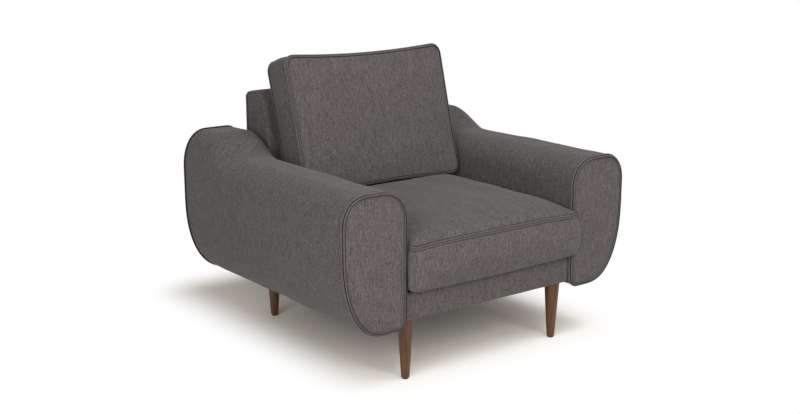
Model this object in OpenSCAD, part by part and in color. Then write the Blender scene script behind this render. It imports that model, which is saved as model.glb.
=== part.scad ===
// An upholstered armchair with two padded arms, a padded back and two loose cushions.
// Millimetres, +Z up, front towards -Y. "Left" is the -X side, as seen from the front.
// The origin is on the floor, under the middle of the chair's outer box.

/* [Overall] */
// Width across the two arms, without their welts
chair_w = 1080; // [980:10:1180]
// Length of an arm from its front face to its rear face
arm_d = 888; // [848:4:960]
// How far the seat cushion stands out in front of the arms
seat_nose = 38; // [24:1:50]
// Height of the seat frame's underside above the floor
frame_lift = 187; // [150:1:240]

/* [Arms] */
// Width of one arm
arm_w = 216; // [180:2:250]
// How far the arm's underside hangs below the seat frame's underside
arm_drop = 17; // [8:1:24]
// Height of an arm, underside to top, in front of its shoulder
arm_h = 406; // [360:1:470]
// How far the shoulder rises above the arm's top
shoulder_rise = 64; // [20:1:90]
// Distance from the arm's front to where the shoulder starts to rise
shoulder_from = 611; // [560:1:640]
// Length over which the shoulder rises
shoulder_run = 160; // [120:1:190]
// Width and height of the upper outer corner's curve
top_out = [80, 86]; // [60:1:90]
// Width and height of the upper inner corner's curve
top_in = [94, 86]; // [60:1:95]
// Width of the upper inner corner's curve at the shoulder
shoulder_in = 58; // [40:1:94]
// Width and height of the lower outer corner's curve
low_out = [136, 244]; // [120:1:260]
// Width and height of the lower inner corner's curve
low_in = [36, 38]; // [30:1:44]

/* [Seat] */
// Width of the welt tubes around the cushions and arm panels
welt = 5; // [3:0.5:7]
// Thickness of the cover fabric
skin = 2; // [1.5:0.5:3]
// Thickness of the foam between an arm's frame and its cover
arm_foam = 12; // [8:1:16]
// Height of the seat cushion's boxing, seam to seam
seat_box = 145; // [110:1:170]
// How far the seat cushion's top is crowned above its seam
seat_crown = 43; // [20:1:55]
// Radius of the seat cushion's corners in plan
seat_corner = 46; // [20:1:70]
// Thickness of the deck's insulating pad
deck_foam = 17; // [10:1:25]
// Thickness of the foam on the front rail
rail_foam = 6; // [4:1:12]
// How far the front rail's cover lies behind the arms' front faces
rail_recess = 9; // [4:1:14]

/* [Back] */
// Height of the back's top edge above the seat frame's underside
back_h = 568; // [480:1:640]
// Thickness of the back at the deck
back_foot = 197; // [170:1:215]
// Lean of the back's front face from upright, in degrees
back_lean = 11; // [6:0.5:13]
// Distance of the back's rear face in front of the arms' rear faces
back_inset = 24; // [12:1:36]
// Radius of the upper front edge of the back
back_round = 62; // [40:1:70]
// Width of the back cushion between its welts
cushion_w = 602; // [540:2:620]
// Height of the back cushion between its welts
cushion_h = 430; // [340:2:460]
// Thickness of the back cushion's boxing
cushion_t = 112; // [80:1:120]
// How far the back cushion's front is crowned
front_crown = 26; // [10:1:40]
// Lean of the back cushion from upright, in degrees
cushion_lean = 15.5; // [13:0.5:20]
// Distance of the cushion's lower front seam behind the arms' front faces
cushion_set = 523; // [480:1:560]

/* [Legs] */
// Diameter of a leg at its top
leg_top_d = 48; // [36:1:52]
// Diameter of a leg at its foot
leg_foot_d = 25; // [18:1:32]
// Distance of the leg axes in from the arms' inner faces
leg_in = 32; // [30:1:50]
// Distance of the front legs' axes behind the arms' front faces
leg_set_front = 47; // [47:1:90]
// Distance of the rear legs' axes in front of the arms' rear faces
leg_set_rear = 125; // [110:1:160]
// Thickness of the glide under each leg
glide_t = 4; // [2:0.5:6]

/* [Frame timber] */
// Thickness of the seat rails
rail_t = 18; // [16:1:22]
// Height of the front and rear seat rails
rail_h = 59; // [50:1:70]
// Thickness of the plywood arm boards
ply = 18; // [12:1:20]
// Thickness of the arm's inner plywood panel
panel_ply = 12; // [9:1:15]
// Width and depth of the back posts
post = [30, 66]; // [24:1:70]
// Thickness and height of the back's top rail
top_rail = [28, 40]; // [20:1:50]
// Length of the corner blocks along each rail
block = 100; // [80:1:115]
// Height of the corner blocks
block_h = 40; // [30:1:50]

/* [Springs and webbing] */
// Number of zigzag springs
springs = 5; // [4:1:6]
// Diameter of the spring wire
wire = 4; // [3:0.2:4]
// Width of a zigzag spring, wire centre to wire centre
spring_w = 54; // [40:1:60]
// Spacing of a spring's straight runs, before it is fitted to a whole even number of them
spring_step = 38; // [32:1:39]
// Number of webbing straps behind the back's foam
straps = 5; // [3:1:6]
// Width of a webbing strap
strap_w = 50; // [40:1:60]

/* [Fasteners] */
// Diameter of the leg bolts and arm bolts
bolt_d = 8; // [6:1:10]
// Number of bolts through each side rail into its arm
arm_bolt_count = 3; // [2:1:4]
// Length of the zip in the seat cushion's rear boxing
seat_zip = 520; // [300:10:560]
// Length of the zip in the back cushion's lower boxing
back_zip = 460; // [300:10:500]

/* [Hidden] */
$fn = 48;

// Clearances
slide_gap = 0.4;     // between the seat cushion and the deck and back
cushion_rest = 1.2;  // between the back cushion's lower rear welt and the seat cushion's crown
rear_rest = 0.6;     // between the back cushion's rear crown and the back
side_gap = 0.6;      // between the seat cushion's welts and an arm's welts
arm_gap = 2;         // between an arm's inner face and the seat's or back's cover
hole_gap = 0.3;      // around a bolt's shank in its through holes
zip_gap = 0.3;       // around a zip slider

// Sizes that no driving dimension changes
outside_t = 4;
dust_t = 1;
clip_t = 1.5;
web_t = 1.5;
post_cover = 20;
slope_run = 10;
slope_drop = [10, 16];
cushion_corner = 38;
crown_power = 2.4;
facing = 16;
welt_back = 1;
top_rail_arm = [50, 30];
nut_flange = 11;
nut_barrel = 5;
nut_depth = 9;
bolt_in_leg = 45;
bolt_end = 4;
bolt_margin = 20;
strap_margin = 22;
arm_bolt_head = [9, 5];
foot_edge = 2;
glide_pin = 2.4;
glide_pin_h = 14;
clip = [14, 14];
tape_t = 0.8;
tooth = [1.8, 2.4];
zip_slot = 12;
zip_half_gap = 0.5;
zip_room = 3;
slider = [10, 9, 1.2];
slider_web = 4;
slider_start = 6;
pull = [5, 16];
corner_steps = 8;
round_steps = 8;
fullness = 2.2;
plan_steps = 5;
crown_steps = [1, 0.95, 0.87, 0.76, 0.6, 0.4, 0.12];

// Places
inner_w = chair_w - 2 * arm_w;
y_front = -(arm_d + seat_nose) / 2;
y_rear = -y_front;
y_arm = y_front + seat_nose;
y_back = y_rear - back_inset;
y_posts_end = y_back - outside_t;
arm_z = frame_lift - arm_drop;
half = inner_w / 2 - arm_gap;
side_outer = inner_w / 2 - 1;
side_inner = side_outer - rail_t;
board_inset = skin + arm_foam;

// Seat frame
border_y = y_arm + rail_recess;
front_rail_y = border_y + skin + rail_foam;
front_inner_y = front_rail_y + rail_t;
leg_x = inner_w / 2 - leg_in;
leg_y = [y_arm + leg_set_front, y_rear - leg_set_rear];
rear_inner_y = leg_y[1] + nut_flange + 2;
post_y = rear_inner_y + rail_t;
leg_top = frame_lift - dust_t;
leg_length = leg_top - glide_t;
rail_top = frame_lift + rail_h;
spring_z = rail_top + clip_t + wire / 2;
clip_top = spring_z + wire / 2 + 1;
deck_z = clip_top + deck_foam + skin;

// Back
back_top = frame_lift + back_h;
back_foot_y = y_back - back_foot;
web_y = post_y - web_t;
post_top = back_top - post_cover;
function back_face(z) = back_foot_y + (z - deck_z) * tan(back_lean);

// Seat cushion
seat_front = y_front + welt;
seat_rear = back_foot_y - slide_gap - welt - arm_gap;
seat_mid = (seat_front + seat_rear) / 2;
seat_plan = [inner_w / 2 - (welt - skin) - side_gap - welt, (seat_rear - seat_front) / 2];
seat_z = deck_z + slide_gap;
function crown(f, h) = h * (1 - pow(f, crown_power));
function seat_height(y) = seat_z + seat_box + crown(min(1, abs(y - seat_mid) / seat_plan[1]), seat_crown);

// Back cushion: its lower rear welt lies on the seat cushion, and its rear crown on the back
back_plan = [cushion_w / 2, cushion_h / 2];
cushion_y = y_arm + cushion_set;
lower_rear_y = cushion_y + cushion_t * cos(cushion_lean);
lower_rear_z = seat_height(lower_rear_y) + cushion_rest + welt;
cushion_z = lower_rear_z + cushion_t * sin(cushion_lean);
mid_y = lower_rear_y + cushion_h / 2 * sin(cushion_lean);
mid_z = lower_rear_z + cushion_h / 2 * cos(cushion_lean);
function rear_space(f) = let (up = f * cushion_h / 2)
    (back_face(mid_z + up * cos(cushion_lean)) - mid_y - up * sin(cushion_lean))
    * cos(back_lean) / cos(cushion_lean - back_lean);
rear_crown = min([for (f = crown_steps) if (f < 1) rear_space(f) / crown(f, 1)]) - rear_rest;

// Arm bolts, between the corner blocks
arm_bolt_z = frame_lift + rail_h / 2 + 3;
arm_bolt_y = let (a = front_inner_y + block + bolt_margin, b = rear_inner_y - block - bolt_margin)
    [for (i = [0:arm_bolt_count - 1]) a + (b - a) * i / (arm_bolt_count - 1)];

function lerp(a, b, t) = a + (b - a) * t;
function ease(t) = let (c = max(0, min(1, t))) c * c * (3 - 2 * c);
function flat(lists) = [for (l = lists) for (p = l) p];
function reversed(l) = [for (i = [len(l) - 1:-1:0]) l[i]];

// ---- Surfaces from rings of points ----

// Faces joining each ring of n points to the next, for rings first to last. The rings from
// back_from up to back_to run back along a face that another piece touches, so their squares
// are split along the other diagonal, and the two pieces meet without overlap.
function bands(first, last, n, count, back_from, back_to) = [for (j = [first:last]) for (i = [0:n - 1])
    let (a = j * n + i, b = j * n + (i + 1) % n,
         c = ((j + 1) % count) * n + (i + 1) % n, d = ((j + 1) % count) * n + i)
    each (j >= back_from && j < back_to ? [[a, b, d], [b, c, d]] : [[a, b, c], [a, c, d]])];

// A closed solid through a stack of rings, capped at both ends
module ring_stack(rings, back_to = 0) {
    n = len(rings[0]);
    m = len(rings);
    polyhedron(flat(rings), concat(bands(0, m - 2, n, m, 0, back_to),
        [[for (i = [n - 1:-1:0]) i]], [[for (i = [0:n - 1]) (m - 1) * n + i]]));
}

// A sleeve: rings out along one surface and back along the other, joined in a loop
module ring_loop(rings) {
    n = len(rings[0]);
    m = len(rings);
    polyhedron(flat(rings), bands(0, m - 1, n, m, m / 2, m));
}

// ---- Arm section ----

// A quarter of a superellipse about centre c, from its side to its end, or back
function corner(c, r, sx, sz, back = false) = [for (i = [0:corner_steps])
    let (a = 90 * (back ? corner_steps - i : i) / corner_steps)
    [c[0] + sx * r[0] * pow(cos(a), 2 / fullness), c[1] + sz * r[1] * pow(sin(a), 2 / fullness)]];

function shoulder(y) = ease((y - shoulder_from) / shoulder_run);

// The arm's outline at distance y from its front, drawn in by inset, with x = 0 at its
// inner face and z = 0 at its underside. The shoulder stretches what lies above the
// lower outer corner.
function arm_outline(y, inset) =
    let (rise = shoulder(y), grow = 1 + rise * shoulder_rise / (arm_h - low_out[1]),
         in_w = lerp(top_in[0], shoulder_in, rise), d = [inset, inset],
         points = concat(
            corner([arm_w - top_out[0], arm_h - top_out[1]], top_out - d, 1, 1),
            corner([in_w, arm_h - top_in[1]], [in_w, top_in[1]] - d, -1, 1, true),
            corner(low_in, low_in - d, -1, -1),
            corner([arm_w - low_out[0], low_out[1]], low_out - d, 1, -1, true)))
    [for (p = points) [p[0], p[1] > low_out[1] ? low_out[1] + (p[1] - low_out[1]) * grow : p[1]]];

function arm_ring(y, inset) =
    [for (p = arm_outline(y, inset)) [inner_w / 2 + p[0], y_arm + y, arm_z + p[1]]];

function arm_stations(a, b) = concat([a], [for (i = [0:8]) shoulder_from + shoulder_run * i / 8], [b]);

module sided(side) {
    mirror([side < 0 ? 1 : 0, 0, 0]) children();
}

// A flat piece with the arm's outline, standing across the arm from y to y + thick
module arm_slice(y, thick, inset, shape_y) {
    translate([inner_w / 2, y_arm + y + thick, arm_z]) rotate([90, 0, 0])
        linear_extrude(thick) polygon(arm_outline(shape_y, inset));
}

// ---- Cushion pieces, flat on the XY plane, with their zip side towards +Y ----

// A rounded rectangle of half sizes h, shrunk by f, clockwise from above
function plan(h, r, f = 1) =
    let (ccw = [for (k = [0:3]) for (i = [0:plan_steps])
        let (a = 90 * k + 90 * i / plan_steps, sx = (k == 0 || k == 3) ? 1 : -1, sy = k < 2 ? 1 : -1)
        f * [sx * (h[0] - r) + r * cos(a), sy * (h[1] - r) + r * sin(a)]], n = len(ccw))
    [for (i = [n - 1:-1:0]) ccw[i]];
function plan_ring(h, r, f, z) = [for (p = plan(h, r, f)) [p[0], p[1], z]];

// The foam: half plan sizes h, boxing height t, crowned by up above and by down below,
// with a groove behind the zip
module cushion_core(h, t, r, up, down, zip) {
    d = h - [skin, skin];
    difference() {
        ring_stack(concat(
            [for (f = reversed(crown_steps)) plan_ring(d, r - skin, f, skin - crown(f, down))],
            [for (f = crown_steps) plan_ring(d, r - skin, f, t - skin + crown(f, up))]));
        translate([-zip / 2, d[1] - zip_room, (t - zip_slot) / 2]) cube([zip, zip_room + 1, zip_slot]);
    }
}

// The crowned cover panel over the foam's top
module cushion_panel(h, t, r, up) {
    d = h - [skin, skin];
    ring_stack(concat(
        [for (f = reversed(crown_steps)) plan_ring(d, r - skin, f, t - skin + crown(f, up))],
        [plan_ring(h, r, 1, t - skin)], [plan_ring(h, r, 1, t)],
        [for (f = crown_steps) plan_ring(d, r - skin, f, t + crown(f, up))]), len(crown_steps));
}

module plan_band(outer, inner, r_out, r_in, z, tall) {
    translate([0, 0, z]) linear_extrude(tall) difference() {
        polygon(plan(outer, r_out));
        polygon(plan(inner, r_in));
    }
}

// The band round the cushion's sides, with a slot for the zip
module cushion_boxing(h, t, r, zip) {
    difference() {
        plan_band(h, h - [skin, skin], r, r - skin, skin, t - 2 * skin);
        translate([-zip / 2, h[1] - skin - 1, (t - zip_slot) / 2]) cube([zip, skin + 2, zip_slot]);
    }
}

module cushion_welt(h, z, r) {
    plan_band(h + [welt, welt], h, r + welt, r, z - welt / 2, welt);
}

// Two tapes with their rows of teeth, closing the slot
module zip_tapes(h, t, zip) {
    y = h[1] - skin / 2;
    for (s = [-1, 1]) translate([0, y, t / 2]) flipped(s) {
        translate([-zip / 2, -tape_t / 2, zip_half_gap]) cube([zip, tape_t, zip_slot / 2 - zip_half_gap]);
        translate([-zip / 2, -tooth[1] / 2, zip_half_gap]) cube([zip, tooth[1], tooth[0]]);
    }
}
module flipped(s) {
    mirror([0, 0, s < 0 ? 1 : 0]) children();
}

// The slider: two plates either side of the teeth, the web between them and its pull tab
module zip_slider(h, t, zip) {
    plate_y = tooth[1] / 2 + zip_gap;
    web = 2 * (zip_half_gap - zip_gap);
    translate([-zip / 2 + slider_start, h[1] - skin / 2, t / 2]) {
        for (s = [-1, 1]) translate([0, s > 0 ? plate_y : -plate_y - slider[2], -slider[1] / 2])
            cube([slider[0], slider[2], slider[1]]);
        translate([(slider[0] - slider_web) / 2, -plate_y, -web / 2]) cube([slider_web, 2 * plate_y, web]);
        translate([slider[0] / 2 - pull[0] / 2, plate_y, -slider[1] / 2 - pull[1]])
            cube([pull[0], slider[2], pull[1]]);
    }
}

module in_seat() {
    translate([0, seat_mid, seat_z]) children();
}

// The back cushion's front faces forward and up, and its zip side faces down.
module in_back() {
    translate([0, cushion_y, cushion_z]) rotate([90 - cushion_lean, 0, 0])
        translate([0, cushion_h / 2, -cushion_t]) rotate([0, 0, 180]) children();
}

// ---- Legs ----

module at_legs() {
    for (sx = [-1, 1], y = leg_y) translate([sx * leg_x, y, 0]) children();
}

// A turned leg, whose taper eases into a nearly straight upper end
module leg(sx, y) {
    color("#8a4a20") translate([sx * leg_x, y, glide_t]) difference() {
        rotate_extrude() polygon([[0, 0], [leg_foot_d / 2 - foot_edge, 0], [leg_foot_d / 2, foot_edge],
            [lerp(leg_foot_d, leg_top_d, 0.80) / 2, leg_length * 0.55],
            [leg_top_d / 2 - 0.6, leg_length * 0.82], [leg_top_d / 2, leg_length], [0, leg_length]]);
        translate([0, 0, leg_length - bolt_in_leg]) cylinder(d = bolt_d, h = bolt_in_leg + 1);
        translate([0, 0, -1]) cylinder(d = glide_pin, h = glide_pin_h + 1);
    }
}
module leg_front_left() { leg(-1, leg_y[0]); }
module leg_front_right() { leg(1, leg_y[0]); }
module leg_rear_left() { leg(-1, leg_y[1]); }
module leg_rear_right() { leg(1, leg_y[1]); }

module leg_glides() {
    color("#2b2724") at_legs() {
        cylinder(r1 = leg_foot_d / 2 - foot_edge - 1, r2 = leg_foot_d / 2 - foot_edge, h = glide_t);
        cylinder(d = glide_pin, h = glide_t + glide_pin_h);
    }
}

module leg_bolts() {
    color("silver") at_legs()
        translate([0, 0, leg_top - bolt_in_leg])
            cylinder(d = bolt_d, h = bolt_in_leg + dust_t + block_h + bolt_end);
}

module leg_nuts() {
    color("silver") at_legs() translate([0, 0, frame_lift + block_h]) difference() {
        union() {
            cylinder(r = nut_flange, h = clip_t);
            translate([0, 0, -nut_depth]) cylinder(r = nut_barrel, h = nut_depth);
        }
        translate([0, 0, -nut_depth - 1]) cylinder(d = bolt_d, h = nut_depth + clip_t + 2);
    }
}

// ---- Seat frame ----

module rail_across(y, h) {
    color("#c9a875") translate([-side_inner, y, frame_lift]) cube([2 * side_inner, rail_t, h]);
}
module front_rail() { rail_across(front_rail_y, rail_h); }
module rear_rail() { rail_across(rear_inner_y, rail_h); }

module side_rail(side) {
    color("#c9a875") sided(side) difference() {
        translate([side_inner, front_rail_y, frame_lift])
            cube([rail_t, y_posts_end - front_rail_y, clip_top - frame_lift]);
        for (y = arm_bolt_y) translate([side_inner - 1, y, arm_bolt_z]) rotate([0, 90, 0])
            cylinder(d = bolt_d + 2 * hole_gap, h = rail_t + 2);
    }
}
module side_rail_left() { side_rail(-1); }
module side_rail_right() { side_rail(1); }

module corner_blocks() {
    color("#b8935f") for (sx = [-1, 1], k = [0, 1]) {
        y = k == 0 ? front_inner_y : rear_inner_y;
        sy = k == 0 ? 1 : -1;
        difference() {
            translate([0, 0, frame_lift]) linear_extrude(block_h) polygon([
                [sx * side_inner, y], [sx * (side_inner - block), y],
                [sx * (side_inner - block), y + sy * block * 0.25],
                [sx * (side_inner - block * 0.25), y + sy * block], [sx * side_inner, y + sy * block]]);
            translate([sx * leg_x, leg_y[k], frame_lift - 1]) {
                cylinder(d = bolt_d + 2 * hole_gap, h = block_h + 2);
                translate([0, 0, block_h + 1 - nut_depth]) cylinder(r = nut_barrel, h = nut_depth + 1);
            }
        }
    }
}

// ---- Springs and deck ----

// One spring: straight runs across, joined by half circles, front rail to rear rail
spring_from = front_rail_y + rail_t / 2;
spring_to = rear_inner_y + rail_t / 2;
spring_runs = 2 * round((spring_to - spring_from) / spring_step / 2);
pitch = (spring_to - spring_from) / spring_runs;
module zigzag_spring() {
    reach = (spring_w - pitch) / 2;
    for (k = [0:spring_runs]) translate([0, spring_from + k * pitch, spring_z]) {
        translate([-reach, 0, 0]) rotate([0, 90, 0]) cylinder(d = wire, h = 2 * reach);
        side = k % 2 == 0 ? 1 : -1;
        if (k < spring_runs) translate([side * reach, pitch / 2, 0]) rotate([0, 0, -90 * side])
            rotate_extrude(angle = 180) translate([pitch / 2, 0]) circle(d = wire);
    }
}

spring_x = [for (i = [0:springs - 1]) (i - (springs - 1) / 2) * 2 * side_inner / springs];

module seat_springs() {
    color("#4b4d52") for (x = spring_x) translate([x, 0, 0]) zigzag_spring();
}

module spring_clips() {
    color("#6d7076") for (x = spring_x, y = [spring_from, spring_to])
        translate([x, y, rail_top]) difference() {
            translate([-clip[0] / 2, -clip[1] / 2, 0]) cube([clip[0], clip[1], clip_top - rail_top]);
            translate([-clip[0], 0, clip_t + wire / 2]) rotate([0, 90, 0])
                cylinder(d = wire, h = 2 * clip[0]);
            translate([-clip[0], 0, clip_t]) cube([2 * clip[0], clip[1], wire]);
        }
}

module deck_sheet(z, t) {
    translate([-side_outer, front_rail_y, z]) cube([2 * side_outer, post_y - front_rail_y, t]);
}
module deck_pad() { color("#8d8778") deck_sheet(clip_top, deck_foam); }
module deck_cover() { color("#4a4644") deck_sheet(deck_z - skin, skin); }

module front_border_pad() {
    color("#e6dfc8") translate([-half, border_y + skin, frame_lift])
        cube([2 * half, rail_foam, deck_z - skin - frame_lift]);
}
module front_border_cover() {
    wrap = skin + rail_foam;
    color("#5d5855") {
        translate([-half, border_y, frame_lift - skin]) cube([2 * half, skin, deck_z - frame_lift + skin]);
        translate([-half, border_y, deck_z - skin]) cube([2 * half, wrap, skin]);
        translate([-half, border_y, frame_lift - skin]) cube([2 * half, wrap, skin]);
    }
}

module dust_cover() {
    color("#1d1d1e") difference() {
        translate([-side_outer, front_rail_y, frame_lift - dust_t])
            cube([2 * side_outer, y_posts_end - front_rail_y, dust_t]);
        at_legs() cylinder(d = bolt_d + 2 * hole_gap, h = frame_lift + 10);
    }
}

// ---- Arms ----

module arm_front_board(side) { color("#d3b98c") sided(side) arm_slice(facing, ply, board_inset, 0); }
module arm_rear_board(side) {
    color("#d3b98c") sided(side) arm_slice(arm_d - facing - ply, ply, board_inset, arm_d);
}
module arm_front_board_left() { arm_front_board(-1); }
module arm_front_board_right() { arm_front_board(1); }
module arm_rear_board_left() { arm_rear_board(-1); }
module arm_rear_board_right() { arm_rear_board(1); }

between_y = facing + ply;
between_d = arm_d - 2 * between_y;
module arm_top_rail(side) {
    color("#c9a875") sided(side)
        translate([inner_w / 2 + (arm_w - top_rail_arm[0]) / 2, y_arm + between_y,
            arm_z + arm_h - board_inset - 2 - top_rail_arm[1]])
            cube([top_rail_arm[0], between_d, top_rail_arm[1]]);
}
module arm_top_rail_left() { arm_top_rail(-1); }
module arm_top_rail_right() { arm_top_rail(1); }

module arm_inner_board(side) {
    color("#d3b98c") sided(side) difference() {
        translate([inner_w / 2 + board_inset, y_arm + between_y, arm_z + low_in[1]])
            cube([panel_ply, between_d, arm_h - top_in[1] - low_in[1] - 4]);
        for (y = arm_bolt_y) translate([inner_w / 2, y, arm_bolt_z]) rotate([0, 90, 0])
            cylinder(d = bolt_d, h = board_inset + panel_ply + 1);
    }
}
module arm_inner_board_left() { arm_inner_board(-1); }
module arm_inner_board_right() { arm_inner_board(1); }

module arm_sleeve(from, to, outer, inner) {
    difference() {
        ring_loop(concat([for (y = arm_stations(from, to)) arm_ring(y, outer)],
            reversed([for (y = arm_stations(from, to)) arm_ring(y, inner)])));
        for (y = arm_bolt_y) translate([inner_w / 2 - 5, y, arm_bolt_z]) rotate([0, 90, 0])
            cylinder(d = bolt_d + 2 * hole_gap, h = 5 + board_inset + 4);
    }
}
module arm_pad(side) { color("#e6dfc8") sided(side) arm_sleeve(facing, arm_d - facing, skin, board_inset); }
module arm_pad_left() { arm_pad(-1); }
module arm_pad_right() { arm_pad(1); }

sleeve_edge = welt_back + welt;
module arm_cover(side) {
    color("#625d5a") sided(side) arm_sleeve(sleeve_edge, arm_d - sleeve_edge, 0, skin);
}
module arm_cover_left() { arm_cover(-1); }
module arm_cover_right() { arm_cover(1); }

module arm_front_panel(side) { color("#6b6663") sided(side) arm_slice(0, facing, skin, 0); }
module arm_front_panel_left() { arm_front_panel(-1); }
module arm_front_panel_right() { arm_front_panel(1); }
module arm_rear_panel(side) { color("#6b6663") sided(side) arm_slice(arm_d - facing, facing, skin, arm_d); }
module arm_rear_panel_left() { arm_rear_panel(-1); }
module arm_rear_panel_right() { arm_rear_panel(1); }

module arm_welt(side, y, shape_y) {
    color("#55504e") sided(side) difference() {
        arm_slice(y, welt, skin - welt, shape_y);
        arm_slice(y - 1, welt + 2, skin, shape_y);
    }
}
module arm_front_welt_left() { arm_welt(-1, welt_back, 0); }
module arm_front_welt_right() { arm_welt(1, welt_back, 0); }
module arm_rear_welts() {
    for (side = [-1, 1]) arm_welt(side, arm_d - sleeve_edge, arm_d);
}

module arm_bolts() {
    reach = board_inset + panel_ply + 1 + rail_t;
    color("silver") for (side = [-1, 1]) sided(side) for (y = arm_bolt_y)
        translate([side_inner - arm_bolt_head[1], y, arm_bolt_z]) rotate([0, 90, 0]) {
            cylinder(r = arm_bolt_head[0], h = arm_bolt_head[1]);
            cylinder(d = bolt_d, h = arm_bolt_head[1] + reach);
        }
}

// ---- Back ----

module back_post(side) {
    color("#c9a875") sided(side) translate([side_inner - post[0], post_y, frame_lift])
        cube([post[0], y_posts_end - post_y, post_top - frame_lift]);
}
module back_post_left() { back_post(-1); }
module back_post_right() { back_post(1); }
module back_top_rail() {
    color("#c9a875") translate([-(side_inner - post[0]), post_y, post_top - top_rail[1]])
        cube([2 * (side_inner - post[0]), top_rail[0], top_rail[1]]);
}

module back_webbing() {
    from = deck_z + strap_margin;
    step = (post_top - top_rail[1] - strap_w - strap_margin - from) / (straps - 1);
    color("#3a3836") for (i = [0:straps - 1]) translate([-side_inner + 2, web_y, from + i * step])
        cube([2 * side_inner - 4, web_t, strap_w]);
}

// The back's side profile, as (y, z), drawn in by d: foot, leaning face, round upper front
// edge, and a top that falls to the rear. The profile runs on past its rear by over.
function back_profile(d, over) =
    let (cz = back_top - back_round, cy = back_face(cz) + back_round / cos(back_lean), r = back_round - d,
         fall = (slope_drop[1] - slope_drop[0]) / slope_run)
    concat([[y_posts_end + over, deck_z + d], [back_foot_y + d / cos(back_lean), deck_z + d]],
        [for (i = [0:round_steps])
            let (a = 180 - back_lean - (90 - back_lean) * i / round_steps)
            [cy + r * cos(a), cz + r * sin(a)]],
        [[y_posts_end - slope_run, back_top - slope_drop[0] - d],
         [y_posts_end + over, back_top - slope_drop[1] - d - fall * over]]);

module back_solid(d, half_w, over = 0) {
    translate([-half_w, 0, 0]) rotate([90, 0, 90]) linear_extrude(2 * half_w)
        polygon(back_profile(d, over));
}

module back_pad() {
    color("#e6dfc8") difference() {
        back_solid(skin, half - skin);
        translate([-half, web_y, deck_z - 1]) cube([2 * half, y_rear - web_y, post_top - deck_z + 1]);
    }
}
module back_cover() {
    color("#625d5a") difference() {
        back_solid(0, half);
        back_solid(skin, half - skin, 10);
        translate([skin - half, post_y, deck_z - 1]) cube([2 * (half - skin), y_rear - post_y, skin + 2]);
    }
}
module outside_back() {
    color("#5d5855") translate([-half, y_posts_end, frame_lift - dust_t])
        cube([2 * half, outside_t, back_top - slope_drop[1] - frame_lift + dust_t]);
}

// ---- Seat cushion ----

module seat_cushion_core() {
    color("#efe7cf") in_seat() cushion_core(seat_plan, seat_box, seat_corner, seat_crown, 0, seat_zip);
}
module seat_cushion_top() {
    color("#6b6663") in_seat() cushion_panel(seat_plan, seat_box, seat_corner, seat_crown);
}
module seat_cushion_boxing() {
    color("#6b6663") in_seat() cushion_boxing(seat_plan, seat_box, seat_corner, seat_zip);
}
module seat_cushion_bottom() {
    color("#4a4644") in_seat() linear_extrude(skin) polygon(plan(seat_plan, seat_corner));
}
module seat_cushion_welt() {
    color("#55504e") in_seat() cushion_welt(seat_plan, seat_box - welt / 2, seat_corner);
}
module seat_cushion_zip() { color("#2f2d2c") in_seat() zip_tapes(seat_plan, seat_box, seat_zip); }
module seat_zip_slider() { color("silver") in_seat() zip_slider(seat_plan, seat_box, seat_zip); }

// ---- Back cushion ----

module back_cushion_core() {
    color("#efe7cf") in_back()
        cushion_core(back_plan, cushion_t, cushion_corner, front_crown, rear_crown, back_zip);
}
module back_cushion_front() {
    color("#6b6663") in_back() cushion_panel(back_plan, cushion_t, cushion_corner, front_crown);
}
module back_cushion_rear() {
    color("#6b6663") in_back() translate([0, 0, cushion_t]) rotate([0, 180, 0])
        cushion_panel(back_plan, cushion_t, cushion_corner, rear_crown);
}
module back_cushion_boxing() {
    color("#6b6663") in_back() cushion_boxing(back_plan, cushion_t, cushion_corner, back_zip);
}
module back_cushion_welts() {
    color("#55504e") in_back() for (z = [welt / 2, cushion_t - welt / 2])
        cushion_welt(back_plan, z, cushion_corner);
}
module back_cushion_zip() { color("#2f2d2c") in_back() zip_tapes(back_plan, cushion_t, back_zip); }
module back_zip_slider() { color("silver") in_back() zip_slider(back_plan, cushion_t, back_zip); }

leg_front_left();
leg_front_right();
leg_rear_left();
leg_rear_right();
leg_glides();
leg_bolts();
leg_nuts();
front_rail();
rear_rail();
side_rail_left();
side_rail_right();
corner_blocks();
seat_springs();
spring_clips();
deck_pad();
deck_cover();
front_border_pad();
front_border_cover();
dust_cover();
arm_front_board_left();
arm_front_board_right();
arm_rear_board_left();
arm_rear_board_right();
arm_top_rail_left();
arm_top_rail_right();
arm_inner_board_left();
arm_inner_board_right();
arm_pad_left();
arm_pad_right();
arm_cover_left();
arm_cover_right();
arm_front_panel_left();
arm_front_panel_right();
arm_rear_panel_left();
arm_rear_panel_right();
arm_front_welt_left();
arm_front_welt_right();
arm_rear_welts();
arm_bolts();
back_post_left();
back_post_right();
back_top_rail();
back_webbing();
back_pad();
back_cover();
outside_back();
seat_cushion_core();
seat_cushion_top();
seat_cushion_boxing();
seat_cushion_bottom();
seat_cushion_welt();
seat_cushion_zip();
seat_zip_slider();
back_cushion_core();
back_cushion_front();
back_cushion_rear();
back_cushion_boxing();
back_cushion_welts();
back_cushion_zip();
back_zip_slider();
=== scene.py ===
"""The looks of an upholstered armchair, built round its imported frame.
Metres, +Z up, the chair faces -Y. Cloth pieces carry a UV map named Cloth: U runs across the
weave's streaks and V along them, both in metres on the flat cloth."""

import math

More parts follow.
